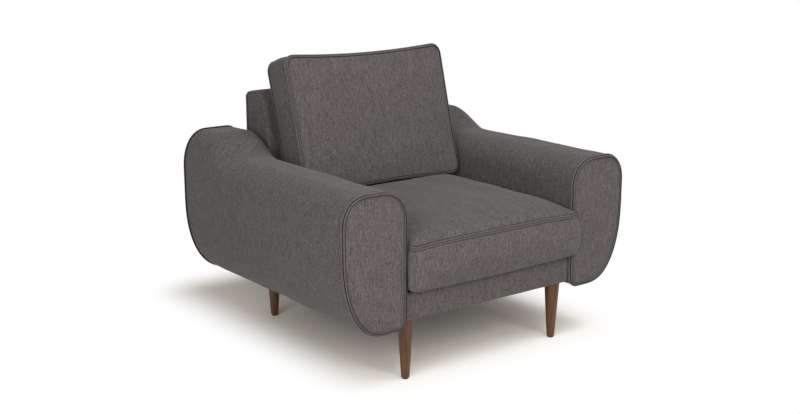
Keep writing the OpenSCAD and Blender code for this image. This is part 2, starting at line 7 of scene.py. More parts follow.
import bpy
import numpy as np
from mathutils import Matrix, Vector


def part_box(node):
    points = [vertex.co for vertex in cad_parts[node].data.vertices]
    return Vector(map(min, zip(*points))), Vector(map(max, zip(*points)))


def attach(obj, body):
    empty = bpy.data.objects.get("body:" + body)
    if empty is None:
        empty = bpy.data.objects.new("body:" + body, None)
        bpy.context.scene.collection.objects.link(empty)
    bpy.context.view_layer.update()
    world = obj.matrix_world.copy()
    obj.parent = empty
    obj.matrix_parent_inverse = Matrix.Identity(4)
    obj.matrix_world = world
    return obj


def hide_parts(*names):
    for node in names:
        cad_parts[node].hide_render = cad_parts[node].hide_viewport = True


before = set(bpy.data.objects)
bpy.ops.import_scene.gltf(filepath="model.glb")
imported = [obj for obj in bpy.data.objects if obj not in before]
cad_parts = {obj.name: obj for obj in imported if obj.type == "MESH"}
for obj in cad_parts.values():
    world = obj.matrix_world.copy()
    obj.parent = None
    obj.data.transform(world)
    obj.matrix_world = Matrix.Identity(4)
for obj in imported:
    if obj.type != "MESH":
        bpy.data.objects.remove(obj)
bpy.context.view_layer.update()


# ---- Sizes ----

MM = 0.001
SIDES = ("left", "right")
ACROSS = np.array([1.0, 0, 0])

# Cloth and seams
CLOTH_T = 2 * MM
GRID = 7 * MM            # spacing of the rings along an arm's sleeve
EDGE_RIDGE = (3.4 * MM, 4.2 * MM)    # half width and height of the welt's ridge beside the face
SIDE_RIDGE = (3.4 * MM, 4.0 * MM)    # half width and height of its ridge on the side piece
GROOVE = 1.4 * MM        # gap between the two ridges
WELT_TURN = math.radians(35)    # how far the welt leans over its corner, so that a ridge shows on each side
WELT_SINK = 2.4 * MM     # how deep it sits in the corner

# Arms, whose section is four superellipse quarters joined by straight runs. Each corner has a radius across
# and one up; the shoulder tightens the upper inner one
FULLNESS = 2.2           # the superellipse's power
TOP_OUT = (80 * MM, 86 * MM)
TOP_IN = (94 * MM, 86 * MM)
SHOULDER_IN = 58 * MM
LOW_OUT = (136 * MM, 244 * MM)
LOW_IN = (36 * MM, 38 * MM)
SHOULDER_FROM = 611 * MM    # where the shoulder begins to rise, behind the arm's front
SHOULDER_RUN = 160 * MM
REAR_FROM = 700 * MM       # where the shoulder begins to sink again
REAR_SINK = 0.09           # and by what share of its rise
ARM_FOAM_T = 8 * MM
ARM_FOAM_IN = 3 * MM       # from the cloth's outline to the foam's
ARM_FOAM_END = 16 * MM     # from the arm's ends to the foam's


# ---- Arrays ----

def smooth(t):
    """The curve 3t^2 - 2t^3, held at 0 and 1 beyond its ends."""
    t = np.clip(t, 0, 1)
    return t * t * (3 - 2 * t)


def near(distance, height, reach):
    """A height in mm that fades away from an edge: height e^(-distance / reach), with the reach in mm."""
    return height * MM * np.exp(-distance / (reach * MM))


def unit(v):
    """Each vector divided by its length."""
    return v / np.maximum(np.linalg.norm(v, axis=-1, keepdims=True), 1e-12)


def places(*parts):
    """Points from an array of each of their coordinates, all repeated to one shape."""
    return np.stack(np.broadcast_arrays(*parts), -1)


def ripple(u, v, wavelength, seed, waves=9):
    """A soft random surface of height about 1: the sum of sine waves in seeded directions, with
    lengths from 0.6 to 1.6 of the wavelength."""
    draw = np.random.default_rng(seed)
    angle = draw.uniform(0, 2 * np.pi, waves)
    k = 2 * np.pi / (wavelength * draw.uniform(0.6, 1.6, waves))
    phase = draw.uniform(0, 2 * np.pi, waves)
    across = np.multiply.outer(u, k * np.cos(angle)) + np.multiply.outer(v, k * np.sin(angle))
    return np.sin(across + phase).sum(-1) * math.sqrt(2 / waves)


def run_length(points, axis):
    """The distance travelled along an array of points, from the first one, along one of its axes."""
    step = np.linalg.norm(np.diff(points, axis=axis), axis=-1)
    first = np.zeros_like(np.take(step, [0], axis=axis))
    return np.concatenate([first, np.cumsum(step, axis=axis)], axis=axis)


def from_edge(u, v, low, high):
    """How far places (u, v) lie inside the nearest edge of the rectangle from low to high."""
    return np.minimum(np.minimum(u - low[0], high[0] - u), np.minimum(v - low[1], high[1] - v))


def finer_at_ends(half, ends, start, count):
    """Places from -half to half: at the given distances from each end, in mm, and count even ones
    between."""
    ends = np.array(ends) * MM
    even = np.linspace(start * MM - half, half - start * MM, count)
    return np.concatenate([ends - half, even, (half - ends)[::-1]])


def quads(index, closed=False):
    """Corner numbers of the squares of a grid of point numbers; closed joins the last column to the
    first."""
    if closed:
        index = np.concatenate([index, index[:, :1]], 1)
    return np.stack([index[:-1, :-1], index[:-1, 1:], index[1:, 1:], index[1:, :-1]], -1).reshape(-1, 4)


def numbers(rows, cols, start=0):
    """The point numbers of a grid, row by row."""
    return start + np.arange(rows * cols).reshape(rows, cols)


def curve_through(points, count):
    """An even run of points on a smooth curve: a Catmull-Rom spline through the given ones."""
    p = np.asarray(points, float)
    p = np.concatenate([2 * p[:1] - p[1:2], p, 2 * p[-1:] - p[-2:-1]])
    t = np.linspace(0, len(p) - 3 - 1e-9, 40 * len(p))
    k = t.astype(int)
    f = (t - k)[:, None]
    a, b, c, d = p[k], p[k + 1], p[k + 2], p[k + 3]
    fine = b + 0.5 * f * (c - a + f * (2 * a - 5 * b + 4 * c - d + f * (3 * (b - c) + d - a)))
    along = run_length(fine, 0)
    even = np.linspace(0, along[-1], count)
    return np.stack([np.interp(even, along, fine[:, axis]) for axis in range(p.shape[1])], -1)


# ---- Meshes ----

def add_object(name, data):
    """Puts a new object in the scene."""
    made = bpy.data.objects.new(name, data)
    bpy.context.scene.collection.objects.link(made)
    return made


def add_mesh(name, points, faces, corners=None):
    """A smooth mesh object from points, faces as numbers of points, and each face corner's place on the
    flat cloth."""
    mesh = bpy.data.meshes.new(name)
    faces = faces.tolist() if isinstance(faces, np.ndarray) else faces
    mesh.from_pydata(np.asarray(points, float).reshape(-1, 3), [], faces)
    if corners is not None:
        layer = mesh.uv_layers.new(name="Cloth")
        layer.data.foreach_set("uv", np.asarray(corners, np.float32).ravel())
    mesh.shade_smooth()
    mesh.validate()
    return add_object(name, mesh)


def surface(name, points, flat, closed=False, flip=False):
    """A mesh over a grid of points (rows, cols, 3). flat holds each point's place on the flat cloth, with
    one more column than points where the grid is closed, so that the cloth's pattern ends where it
    began."""
    faces = quads(numbers(*points.shape[:2]), closed)
    corners = flat.reshape(-1, 2)[quads(numbers(*flat.shape[:2]))]
    if flip:
        faces, corners = faces[:, ::-1], corners[:, ::-1]
    return add_mesh(name, points, faces, corners)


def patch(name, points, groups, flat):
    """A mesh whose every point (n, 3) has one place (n, 2) on the flat cloth, from groups of squares or
    triangles."""
    faces = [face for group in groups for face in group.tolist()]
    return add_mesh(name, points, faces, flat[[corner for face in faces for corner in face]])


def volume(points, faces):
    """The signed volume inside a closed mesh of squares: a third of the sum of face areas times their
    distances."""
    a, b, c, d = (points[faces[:, k]] for k in range(4))
    return (np.cross(c - a, d - b) * (a + b + c + d)).sum() / 24


def add_modifier(piece, name, kind, **settings):
    """Adds a modifier with its settings."""
    made = piece.modifiers.new(name, kind)
    for key, value in settings.items():
        setattr(made, key, value)
    return piece


def thicken(piece, thickness=CLOTH_T, offset=-1):
    """Gives a cloth surface its thickness, inwards from its face, or to both sides of it for an offset of
    0."""
    return add_modifier(piece, "cloth", "SOLIDIFY", thickness=thickness, offset=offset)


def refine(piece):
    """Rounds a mesh by one subdivision."""
    return add_modifier(piece, "round", "SUBSURF", levels=1, render_levels=1)


def weld(piece, distance=0.01 * MM):
    """Joins the points of a mesh that lie together."""
    return add_modifier(piece, "close", "WELD", merge_threshold=distance)


def dress(piece, body, finish, node):
    """Gives a piece its material, lets it ride on a body and hides the node it stands for."""
    piece.data.materials.append(finish)
    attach(piece, body)
    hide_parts(node)


# ---- Materials ----

def linear(hex_code):
    """An sRGB hex colour as linear RGBA: a straight line below 0.04045, the 2.4 power curve above it."""
    s = np.array([int(hex_code[k:k + 2], 16) for k in (1, 3, 5)]) / 255
    return (*np.where(s <= 0.04045, s / 12.92, ((s + 0.055) / 1.055) ** 2.4), 1.0)


def add_node(tree, kind, inputs=None, **settings):
    """Adds a shader node with its settings; each input is a value, or a socket to link to it."""
    made = tree.nodes.new("ShaderNode" + kind)
    for key, value in settings.items():
        setattr(made, key, value)
    for key, value in (inputs or {}).items():
        if isinstance(value, bpy.types.NodeSocket):
            tree.links.new(value, made.inputs[key])
        else:
            made.inputs[key].default_value = value
    return made


def new_finish(name, **sockets):
    """A material with one Principled shader, whose constant sockets are given by name."""
    finish = bpy.data.materials.new(name)
    finish.use_nodes = True
    tree = finish.node_tree
    shader = tree.nodes["Principled BSDF"]
    for key, value in sockets.items():
        shader.inputs[key.replace("_", " ")].default_value = value
    return finish, tree, shader


def lay_on(tree, shader, colour, height, strength, depth):
    """Links a colour to a shader, and a height to its face as a bump of a strength and a depth."""
    bump = add_node(tree, "Bump", {"Height": height, "Strength": strength, "Distance": depth})
    tree.links.new(colour, shader.inputs["Base Color"])
    tree.links.new(bump.outputs[0], shader.inputs["Normal"])


def colours(tree, value, stops):
    """A colour ramp through (position, hex) stops."""
    ramp = add_node(tree, "ValToRGB", {"Fac": value})
    band = ramp.color_ramp
    while len(band.elements) < len(stops):
        band.elements.new(0.5)
    for element, (place, code) in zip(band.elements, stops):
        element.position = place
        element.color = linear(code)
    return ramp.outputs["Color"]


def mixed(tree, terms):
    """The weighted sum of several values."""
    total = None
    for value, weight in terms:
        part = add_node(tree, "Math", {0: value, 1: weight}, operation="MULTIPLY").outputs[0]
        total = part if total is None else add_node(tree, "Math", {0: total, 1: part}).outputs[0]
    return total


def noise(tree, place, size, detail=2.0, seed=0.0):
    """Noise on a place in metres, stretched to size (x, y, z) in metres for one unit of the pattern."""
    scaled = add_node(tree, "Mapping", {"Vector": place, "Scale": [1 / s for s in size],
                                        "Location": (seed, seed * 0.7, seed * 0.3)})
    return add_node(tree, "TexNoise", {"Vector": scaled.outputs[0], "Scale": 1.0, "Detail": detail,
                                       "Roughness": 0.6}).outputs[0]


def threads(tree, cloth, *pitches):
    """The ridges of warp and weft: waves across U and V, each at its own pitch."""
    return [add_node(tree, "TexWave", {"Vector": cloth, "Scale": 1 / (20 * pitch)}, wave_type="BANDS",
                     bands_direction=way).outputs[1] for way, pitch in zip("XY", pitches)]


YARN_STEP = 7.3         # steps in the noise between yarns, so that neighbours have nothing in common
# The near black grey of the shade painted into a welt's creases
PAINTED_SHADE_GREY = "#1d1a19"


def woven(name, dark, middle, light, yarn=2.3 * MM, streak=35 * MM, spread=0.2, painted_shade_bands=()):
    """A heathered plain weave: each warp yarn lies along V and changes its grey along its own length, so
    the eye sees fine broken streaks on a matt face with a faint nap. Real yarns are 0.4 mm across; they
    are drawn 2.3 mm wide, which is as fine as shows from across a room. The last argument gives places
    along U and half widths of bands in which shade is painted, for the shade in a welt's creases."""
    finish, tree, shader = new_finish(name, Roughness=0.95, Sheen_Weight=0.12, Sheen_Roughness=0.5,
                                      Specular_IOR_Level=0.15)
    cloth = add_node(tree, "UVMap", uv_map="Cloth").outputs[0]
    warp = add_node(tree, "VectorMath", {0: cloth, 1: (yarn, 0.02 * MM, 1)}, operation="SNAP").outputs[0]
    slubs = noise(tree, warp, (yarn / YARN_STEP, streak, 1), 0.0)
    yarns = noise(tree, warp, (yarn / YARN_STEP, streak * 0.25, 1), 0.0, 3.1)
    grain = noise(tree, cloth, (2.4 * MM, 3.0 * MM, 1), 0.0, 7.7)
    patches = noise(tree, cloth, (60 * MM, 140 * MM, 1), 2.0, 1.3)
    heather = mixed(tree, [(slubs, 0.29), (yarns, 0.35), (grain, 0.32), (patches, 0.04)])
    colour = colours(tree, heather, [(0.5 - spread, dark), (0.5, middle), (0.5 + spread, light)])
    # Painted shade: in each band along U the colour darkens towards a near black grey, for the shade in a
    # welt's crease
    if painted_shade_bands:
        across = add_node(tree, "SeparateXYZ", {0: cloth}).outputs[0]
    for place, width in painted_shade_bands:
        away = add_node(tree, "Math", {0: across, 1: place}, operation="SUBTRACT").outputs[0]
        away = add_node(tree, "Math", {0: away}, operation="ABSOLUTE").outputs[0]
        shade = add_node(tree, "MapRange", {"Value": away, "From Min": width * 0.45, "From Max": width,
                                            "To Min": 1.0, "To Max": 0.0}).outputs[0]
        colour = add_node(tree, "Mix", {0: shade, 6: colour, 7: linear(PAINTED_SHADE_GREY)},
                          data_type="RGBA").outputs[2]
    warp_ridge, weft_ridge = threads(tree, cloth, 0.9 * MM, 1.1 * MM)
    height = mixed(tree, [(heather, 0.6), (warp_ridge, 0.12), (weft_ridge, 0.12)])
    lay_on(tree, shader, colour, height, 0.3, 0.7 * MM)
    return finish


def timber(name, dark, light, ring, along=2, polished=False):
    """Straight-grained timber: growth bands a ring wide, drawn out 14 times along one axis, and fine
    pores. It is sawn and matt, or else polished, half glossy and with shallower pores."""
    finish, tree, shader = new_finish(name, Roughness=0.38 if polished else 0.6,
                                      Specular_IOR_Level=0.45 if polished else 0.35)
    place = add_node(tree, "TexCoord").outputs["Object"]
    bands = noise(tree, place, [ring * (14 if axis == along else 1) for axis in range(3)], 3.0)
    pores = noise(tree, place, [(22 if axis == along else 0.9) * MM for axis in range(3)], 2.0,
                  4.4 if polished else 5.2)
    grain = mixed(tree, [(bands, 0.7), (pores, 0.3)])
    colour = colours(tree, grain, [(0.36, dark), (0.62 if polished else 0.64, light)])
    lay_on(tree, shader, colour, pores, *((0.25, 0.2 * MM) if polished else (0.3, 0.3 * MM)))
    return finish


def hard_skin(name, dark, light, roughness, grain, metallic=1.0):
    """Plated metal or moulded plastic: a faint mottle of the given grain in its colour and in its face."""
    finish, tree, shader = new_finish(name, Metallic=metallic, Roughness=roughness)
    place = add_node(tree, "TexCoord").outputs["Object"]
    mottle = noise(tree, place, (grain, grain, grain), 3.0)
    lay_on(tree, shader, colours(tree, mottle, [(0.35, dark), (0.65, light)]), mottle, 0.12, 0.1 * MM)
    return finish


def cellular(name, dark, light, cell, roughness=0.95, depth=0.4 * MM):
    """Foam, felt or spun cloth: small cells or matted fibres, with a slow change of tone."""
    finish, tree, shader = new_finish(name, Roughness=roughness, Specular_IOR_Level=0.15, Sheen_Weight=0.1)
    place = add_node(tree, "TexCoord").outputs["Object"]
    cells = noise(tree, place, (cell, cell, cell), 3.0)
    tone = mixed(tree, [(cells, 0.75), (noise(tree, place, (80 * MM,) * 3, 2.0, 2.2), 0.25)])
    lay_on(tree, shader, colours(tree, tone, [(0.36, dark), (0.64, light)]), cells, 0.5, depth)
    return finish


def plain_weave(name, dark, light, pitch):
    """A plain weave without slubs: warp and weft ridges at one pitch, drawn a little coarser than real
    thread."""
    finish, tree, shader = new_finish(name, Roughness=0.85, Specular_IOR_Level=0.2)
    cloth = add_node(tree, "UVMap", uv_map="Cloth").outputs[0]
    warp, weft = threads(tree, cloth, pitch, pitch)
    mottle = noise(tree, cloth, (6 * pitch, 6 * pitch, 1), 2.0, 1.9)
    tone = mixed(tree, [(warp, 0.2), (weft, 0.2), (mottle, 0.6)])
    lay_on(tree, shader, colours(tree, tone, [(0.3, dark), (0.72, light)]), tone, 0.5, 0.5 * MM)
    return finish


fabric = woven("woven_upholstery_fabric", "#474342", "#5f5a59", "#777271")
walnut = timber("walnut_stained_beech", "#44240f", "#6c4423", 9 * MM, polished=True)
# Beech as sawn for a frame: pale pink brown, straight and fine, with its grain along the rail or the post
beech = timber("sawn_beech", "#b08a62", "#d3b084", 8 * MM, 0)
beech_upright = timber("sawn_beech_upright", "#b08a62", "#d3b084", 8 * MM)
# Birch plywood: paler and broader figured, with its face grain upright
plywood = timber("rotary_cut_birch_plywood", "#c9a878", "#e3cda3", 14 * MM)
# Black japanned spring wire: a dark, half glossy skin
spring_steel = hard_skin("japanned_spring_steel", "#1c1d1f", "#34363a", 0.38, 3 * MM, 0.6)
# Bright zinc plate: pale, slightly blue, with the spangle of the bath
zinc_steel = hard_skin("zinc_plated_steel", "#a5a8aa", "#c6c9cc", 0.34, 2.5 * MM)
clip_steel = hard_skin("rolled_clip_steel", "#7f8285", "#9fa2a5", 0.42, 2 * MM)
nickel = hard_skin("nickel_plated_zinc", "#b7b3aa", "#d3cfc6", 0.22, 2 * MM)
# Moulded nylon glides: near black, smooth, softly glossy
nylon = hard_skin("moulded_black_nylon", "#161616", "#232323", 0.45, 1.5 * MM, 0.0)
tooth_plastic = hard_skin("moulded_zip_teeth", "#26241f", "#3a3732", 0.4, 1.5 * MM, 0.0)
# Cream polyurethane foam: open cells about a millimetre across
foam = cellular("polyurethane_foam", "#d8cda9", "#efe7cd", 1.2 * MM)
# Needled felt of mixed grey fibres
felt = cellular("needled_felt", "#6f6a5e", "#98917f", 3 * MM)
# Spun-bonded dust cloth: thin and black, with pressed fibres
dust_cloth = cellular("spun_bonded_dust_cloth", "#141414", "#262626", 2 * MM, 0.9, 0.15 * MM)
lining = plain_weave("cotton_deck_cloth", "#3d3936", "#55504c", 1.2 * MM)
jute_webbing = plain_weave("jute_webbing", "#8a7348", "#b89e6d", 2.4 * MM)
tape_cloth = plain_weave("woven_zip_tape", "#24221f", "#393632", 1.0 * MM)


def soft_cloth(piece, body, node):
    """A padded piece in the chair's own fabric."""
    dress(piece, body, fabric, node)


# ---- Welts ----

def closed_length(ring):
    """The distance round closed outlines, with one more value than points."""
    return run_length(np.concatenate([ring, ring[:, :1]], 1), 1)


def welt_section(points_per_ridge=9):
    """The double welt's section as (p, q), p across its two ridges and q out of their base: two half
    ellipses side by side, the larger first, which a base closes inside the cloth. Its middle is at (0,
    0)."""
    angle = np.linspace(np.pi, 0, points_per_ridge)
    start = 2 * EDGE_RIDGE[0] + GROOVE
    end = start + 2 * SIDE_RIDGE[0]
    ridges = [places(at + half * (1 + np.cos(angle)), height * np.sin(angle))
              for at, (half, height) in ((0, EDGE_RIDGE), (start, SIDE_RIDGE))]
    base = [(end, -3 * MM), (end * 0.5, -4 * MM), (0, -3 * MM)]
    return np.concatenate([*ridges, base]) - np.array([end / 2, WELT_SINK])


WELT = welt_section()
WELT_W = 2 * (EDGE_RIDGE[0] + SIDE_RIDGE[0]) + GROOVE
# From an arm's end to where its sleeve goes under the welt
SLEEVE_END = WELT_W / 2 * math.cos(WELT_TURN) - 1 * MM
# The welt's cloth is cut on the bias. It is painted a little lighter than the chair's fabric, a painted
# highlight for the light its ridges catch, and painted shade darkens it in the creases beside the corner,
# between the ridges and at the foot of the side ridge
SECTION = run_length(WELT, 0)
PAINTED_CREASE_SHADE = ((0.0, 4.0 * MM), ((SECTION[8] + SECTION[9]) / 2, 3.8 * MM), (SECTION[17], 3.4 * MM))
welt_fabric = woven("welt_fabric_painted_light_and_shade", "#514c4b", "#645f5d", "#777170", streak=5 * MM, painted_shade_bands=PAINTED_CREASE_SHADE)


def double_welt(name, body, node, seam, inward, normal, turn=WELT_TURN):
    """The welt's section carried round a closed seam (n, 3) and turned over its corner. inward leads from
    the corner over the side piece, and normal out of its face, both (n, 3)."""
    across = inward * math.cos(turn) + normal * math.sin(turn)
    upward = normal * math.cos(turn) - inward * math.sin(turn)
    points = seam + across * WELT[:, :1, None] + upward * WELT[:, 1:, None]
    points = np.concatenate([points, points[:1]], 0)
    flat = places(run_length(points[:, 0], 0)[:, None], closed_length(seam[None]))
    inside_out = volume(points.reshape(-1, 3), quads(numbers(*points.shape[:2]), True)) < 0
    made = refine(weld(surface(name, points, flat, closed=True, flip=inside_out)))
    dress(made, body, welt_fabric, node)


# ---- Arms ----

cover_low, cover_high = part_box("arm_cover_right")
panel_low, panel_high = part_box("arm_front_panel_right")
INNER_X = cover_low.x
ARM_W = cover_high.x - cover_low.x
ARM_FRONT = panel_low.y
ARM_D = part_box("arm_rear_panel_right")[1].y - panel_low.y
ARM_Z = cover_low.z
ARM_H = panel_high.z + CLOTH_T - ARM_Z
SHOULDER_RISE = cover_high.z - ARM_Z - ARM_H


def arm_outline(y, inset=0.0, corner_points=22):
    """The arm's section at each distance y behind its front, as (stations, points, 2) of x out from the
    inner face and z up from the underside, drawn in by inset. The shoulder, a smooth step in y that sinks
    a little towards the rear, stretches what lies above the lower outer corner and tightens the upper
    inner one."""
    y = np.atleast_1d(y)[:, None]
    sunk = REAR_SINK * smooth((y - REAR_FROM) / (ARM_D - REAR_FROM))
    rise = smooth((y - SHOULDER_FROM) / SHOULDER_RUN) - sunk
    grow = 1 + rise * SHOULDER_RISE / (ARM_H - LOW_OUT[1])
    in_w = TOP_IN[0] + (SHOULDER_IN - TOP_IN[0]) * rise
    quarter = np.linspace(0, np.pi / 2, corner_points)[None, :]

    def corner(cx, cz, rx, rz, sx, sz):
        a = quarter if sx == sz else quarter[:, ::-1]
        x = cx + sx * (rx - inset) * np.cos(a) ** (2 / FULLNESS)
        z = cz + sz * (rz - inset) * np.sin(a) ** (2 / FULLNESS)
        return places(x, z) * np.ones((len(y), 1, 1))

    corners = [corner(ARM_W - TOP_OUT[0], ARM_H - TOP_OUT[1], *TOP_OUT, 1, 1),
               corner(in_w, ARM_H - TOP_IN[1], in_w, TOP_IN[1], -1, 1),
               corner(*LOW_IN, *LOW_IN, -1, -1),
               corner(ARM_W - LOW_OUT[0], LOW_OUT[1], *LOW_OUT, 1, -1)]
    ring = []
    for k, straight_points in enumerate((5, 38, 5, 10)):
        start, end = corners[k][:, -1:], corners[(k + 1) % 4][:, :1]
        t = np.linspace(0, 1, straight_points + 2)[None, 1:-1, None]
        ring += [corners[k], start + (end - start) * t]
    ring = np.concatenate(ring, 1)
    z = ring[..., 1]
    ring[..., 1] = np.where(z > LOW_OUT[1], LOW_OUT[1] + (z - LOW_OUT[1]) * grow, z)
    return ring


def arm_place(side, outline, y):
    """Puts outlines (stations, points, 2) in the chair, at distances y behind the arm's front."""
    x = (INNER_X + outline[..., 0]) * (-1 if side == "left" else 1)
    depth = ARM_FRONT + np.reshape(y, (-1, 1) if np.ndim(y) < 2 else np.shape(y))
    return places(x, depth, ARM_Z + outline[..., 1])


def outward(ring):
    """Normals of closed outlines (stations, points, 2), pointing away from what they go round
    anticlockwise."""
    along = unit(np.roll(ring, -1, 1) - np.roll(ring, 1, 1))
    return places(along[..., 1], -along[..., 0])


def arm_sleeve(side):
    """The fabric sleeve: the arm's outline carried from one end to the other, puffed by 1.6 mm and
    tightened by 1.2 mm beside its seams, gently uneven, with fine puckers that fade over 18 mm from each
    end."""
    first, last = SLEEVE_END, ARM_D - SLEEVE_END
    y = np.concatenate([[first], np.arange(first + 3 * MM, last - 3 * MM, GRID), [last]])
    ring = arm_outline(y)
    along = closed_length(ring)
    end = np.minimum(y, ARM_D - y)[:, None]
    seed = 11 if side == "left" else 12
    u, v = np.broadcast_arrays(y[:, None], along[:, :-1])
    puff = 1.6 * MM - near(end - first, 1.6, 14) - near(end - first, 1.2, 3)
    uneven = 0.8 * MM * ripple(u, v, 240 * MM, seed) * smooth(end / (80 * MM))
    pucker = ripple(u * 0.15, v, 24 * MM, seed + 20) * near(end, 0.45, 18)
    points = arm_place(side, ring + outward(ring) * (puff + uneven + pucker)[..., None], y)
    made = surface("arm_sleeve_" + side, points, places(y[:, None], along), closed=True, flip=side == "right")
    soft_cloth(thicken(made), "frame", "arm_cover_" + side)


FACING_INSETS = np.array([0.6, 1.2, 2.2, 3.6, 5.5, 8, 12, 17, 23]) * MM


def arm_facing(side, end):
    """The padded panel that closes an arm: rings drawn in from the outline and then towards its middle.
    The face rolls back by 7.5 mm into its seam and is domed by 4 mm."""
    rings = [arm_outline(0.0 if end == "front" else ARM_D, inset)[0] for inset in FACING_INSETS]
    middle = np.array([ARM_W / 2, ARM_H / 2])
    shares = np.linspace(1, 0, 16)[1:-1]
    rings = np.stack(rings + [middle + (rings[-1] - middle) * share for share in shares])
    depth = np.concatenate([FACING_INSETS, FACING_INSETS[-1] + (1 - shares) * 90 * MM])[:, None]
    seed = 31 + 2 * (side == "left") + (end == "rear")
    out = 4 * MM - near(depth, 4, 45) - near(depth, 7.5, 2.8)
    out = out + 0.35 * MM * ripple(rings[..., 0], rings[..., 1], 90 * MM, seed)
    y = -out if end == "front" else ARM_D + out
    ring = numbers(*rings.shape[:2])
    centre = arm_place(side, middle[None, None], y[-1].mean())[0]
    points = np.concatenate([arm_place(side, rings, y).reshape(-1, 3), centre])
    flat = np.concatenate([rings.reshape(-1, 2), middle[None]])
    groups = [quads(ring, closed=True), places(ring[-1], np.roll(ring[-1], -1), ring.size)]
    if (side == "left") == (end == "front"):
        groups = [group[:, ::-1] for group in groups]
    made = thicken(patch(f"arm_{end}_facing_{side}", points, groups, flat))
    soft_cloth(made, "frame", f"arm_{end}_panel_{side}")


def arm_welt(side, end):
    """The double welt round an arm's end, on the sleeve side of the corner."""
    start = 0.0 if end == "front" else ARM_D
    ring = arm_outline(start)
    normal = outward(ring)[0]
    normal = places(normal[:, 0] * (-1 if side == "left" else 1), 0.0, normal[:, 1])
    inward = np.array([[0, 1.0 if end == "front" else -1.0, 0]])
    node = "arm_front_welt_" + side if end == "front" else "arm_rear_welts"
    double_welt(f"arm_{end}_piping_{side}", "frame", node, arm_place(side, ring, start)[0], inward, normal)


def arm_foam(side):
    """The foam wrapped round an arm's boards: the arm's outline drawn in by 3 mm, 8 mm thick and open at
    its ends."""
    y = np.linspace(ARM_FOAM_END, ARM_D - ARM_FOAM_END, 90)
    ring = arm_outline(y, ARM_FOAM_IN)
    flat = places(y[:, None], closed_length(ring))
    made = surface("arm_foam_" + side, arm_place(side, ring, y), flat, closed=True, flip=side == "right")
    dress(thicken(made, ARM_FOAM_T), "frame", foam, "arm_pad_" + side)


# ---- Shapes of the loose cushions ----

def edge_places(na, nb):
    """Row and column of each point round a grid of na by nb squares, anticlockwise from its first
    corner."""
    i, j = np.arange(na), np.arange(nb)
    return np.concatenate([0 * i, j, nb + 0 * i, nb - j]), np.concatenate([i, na + 0 * j, na - i, 0 * j])


def next_in(grid):
    """The points of a grid one step in from its edge, in the order of the edge's own."""
    high = np.array(grid.shape[:2]) - 1
    rows, cols = edge_places(high[1], high[0])
    return grid[np.clip(rows, 1, high[0] - 1), np.clip(cols, 1, high[1] - 1)]


def rounded_loop(half, radius, counts):
    """The edge of a rectangle with rounded corners, anticlockwise from the middle of its lower left
    corner, with each side's points evenly spaced: half a quarter circle, a straight and half a quarter
    circle."""
    def side(length, out, count):
        arc, straight = radius * np.pi / 4, 2 * (length - radius)
        s = np.linspace(0, straight + 2 * arc, count + 1)[:-1]
        before = np.maximum(arc - s, 0) / radius
        after = np.maximum(s - arc - straight, 0) / radius
        along = np.clip(s - arc, 0, straight) - straight / 2 + radius * (np.sin(after) - np.sin(before))
        return along, out - radius + radius * np.cos(before + after)

    across, up = side(*half, counts[0]), side(*half[::-1], counts[1])
    return np.concatenate([places(across[0], -across[1]), places(up[1], up[0]),
                           places(-across[0], across[1]), places(-up[1], -up[0])])


def filled(loop, counts):
    """A Coons patch: the two surfaces ruled between opposite sides of a loop, less the one through its
    corners."""
    na, nb = counts
    closed = np.concatenate([loop, loop[:1]])
    low, right = closed[:na + 1], closed[na:na + nb + 1]
    top, left = closed[na + nb:2 * na + nb + 1][::-1], closed[2 * na + nb:][::-1]
    u = np.linspace(0, 1, na + 1)[None, :, None]
    v = np.linspace(0, 1, nb + 1)[:, None, None]
    ruled = (1 - v) * low[None] + v * top[None] + (1 - u) * left[:, None] + u * right[:, None]
    return ruled - ((1 - u) * ((1 - v) * low[0] + v * top[0]) + u * ((1 - v) * low[-1] + v * top[-1]))


def crown(counts, powers, fullness):
    """A crowned face's height, 1 in its middle and 0 at its seam: ((1 - |u|^p)(1 - |v|^q))^fullness."""
    u = np.abs(np.linspace(-1, 1, counts[0] + 1))[None, :]
    v = np.abs(np.linspace(-1, 1, counts[1] + 1))[:, None]
    return ((1 - u ** powers[0]) * (1 - v ** powers[1])) ** fullness


def closed_shell(front, rear, sides):
    """Joins a front and a rear grid by the rows of points (k, n, 3) between their edges. Gives all points,
    the faces, and the point numbers of the front, the rear and every row from the front's edge to the
    rear's."""
    rows, cols = edge_places(front.shape[1] - 1, front.shape[0] - 1)
    face = numbers(*front.shape[:2])
    back = numbers(*front.shape[:2], face.size)
    ring = numbers(*sides.shape[:2], 2 * face.size)
    ring = np.concatenate([face[rows, cols][None], ring, back[rows, cols][None]])
    points = np.concatenate([front.reshape(-1, 3), rear.reshape(-1, 3), sides.reshape(-1, 3)])
    faces = np.concatenate([quads(face), quads(back)[:, ::-1], quads(ring, closed=True)[:, ::-1]])
    return points, faces, face, back, ring


SWELL_STEPS = 20


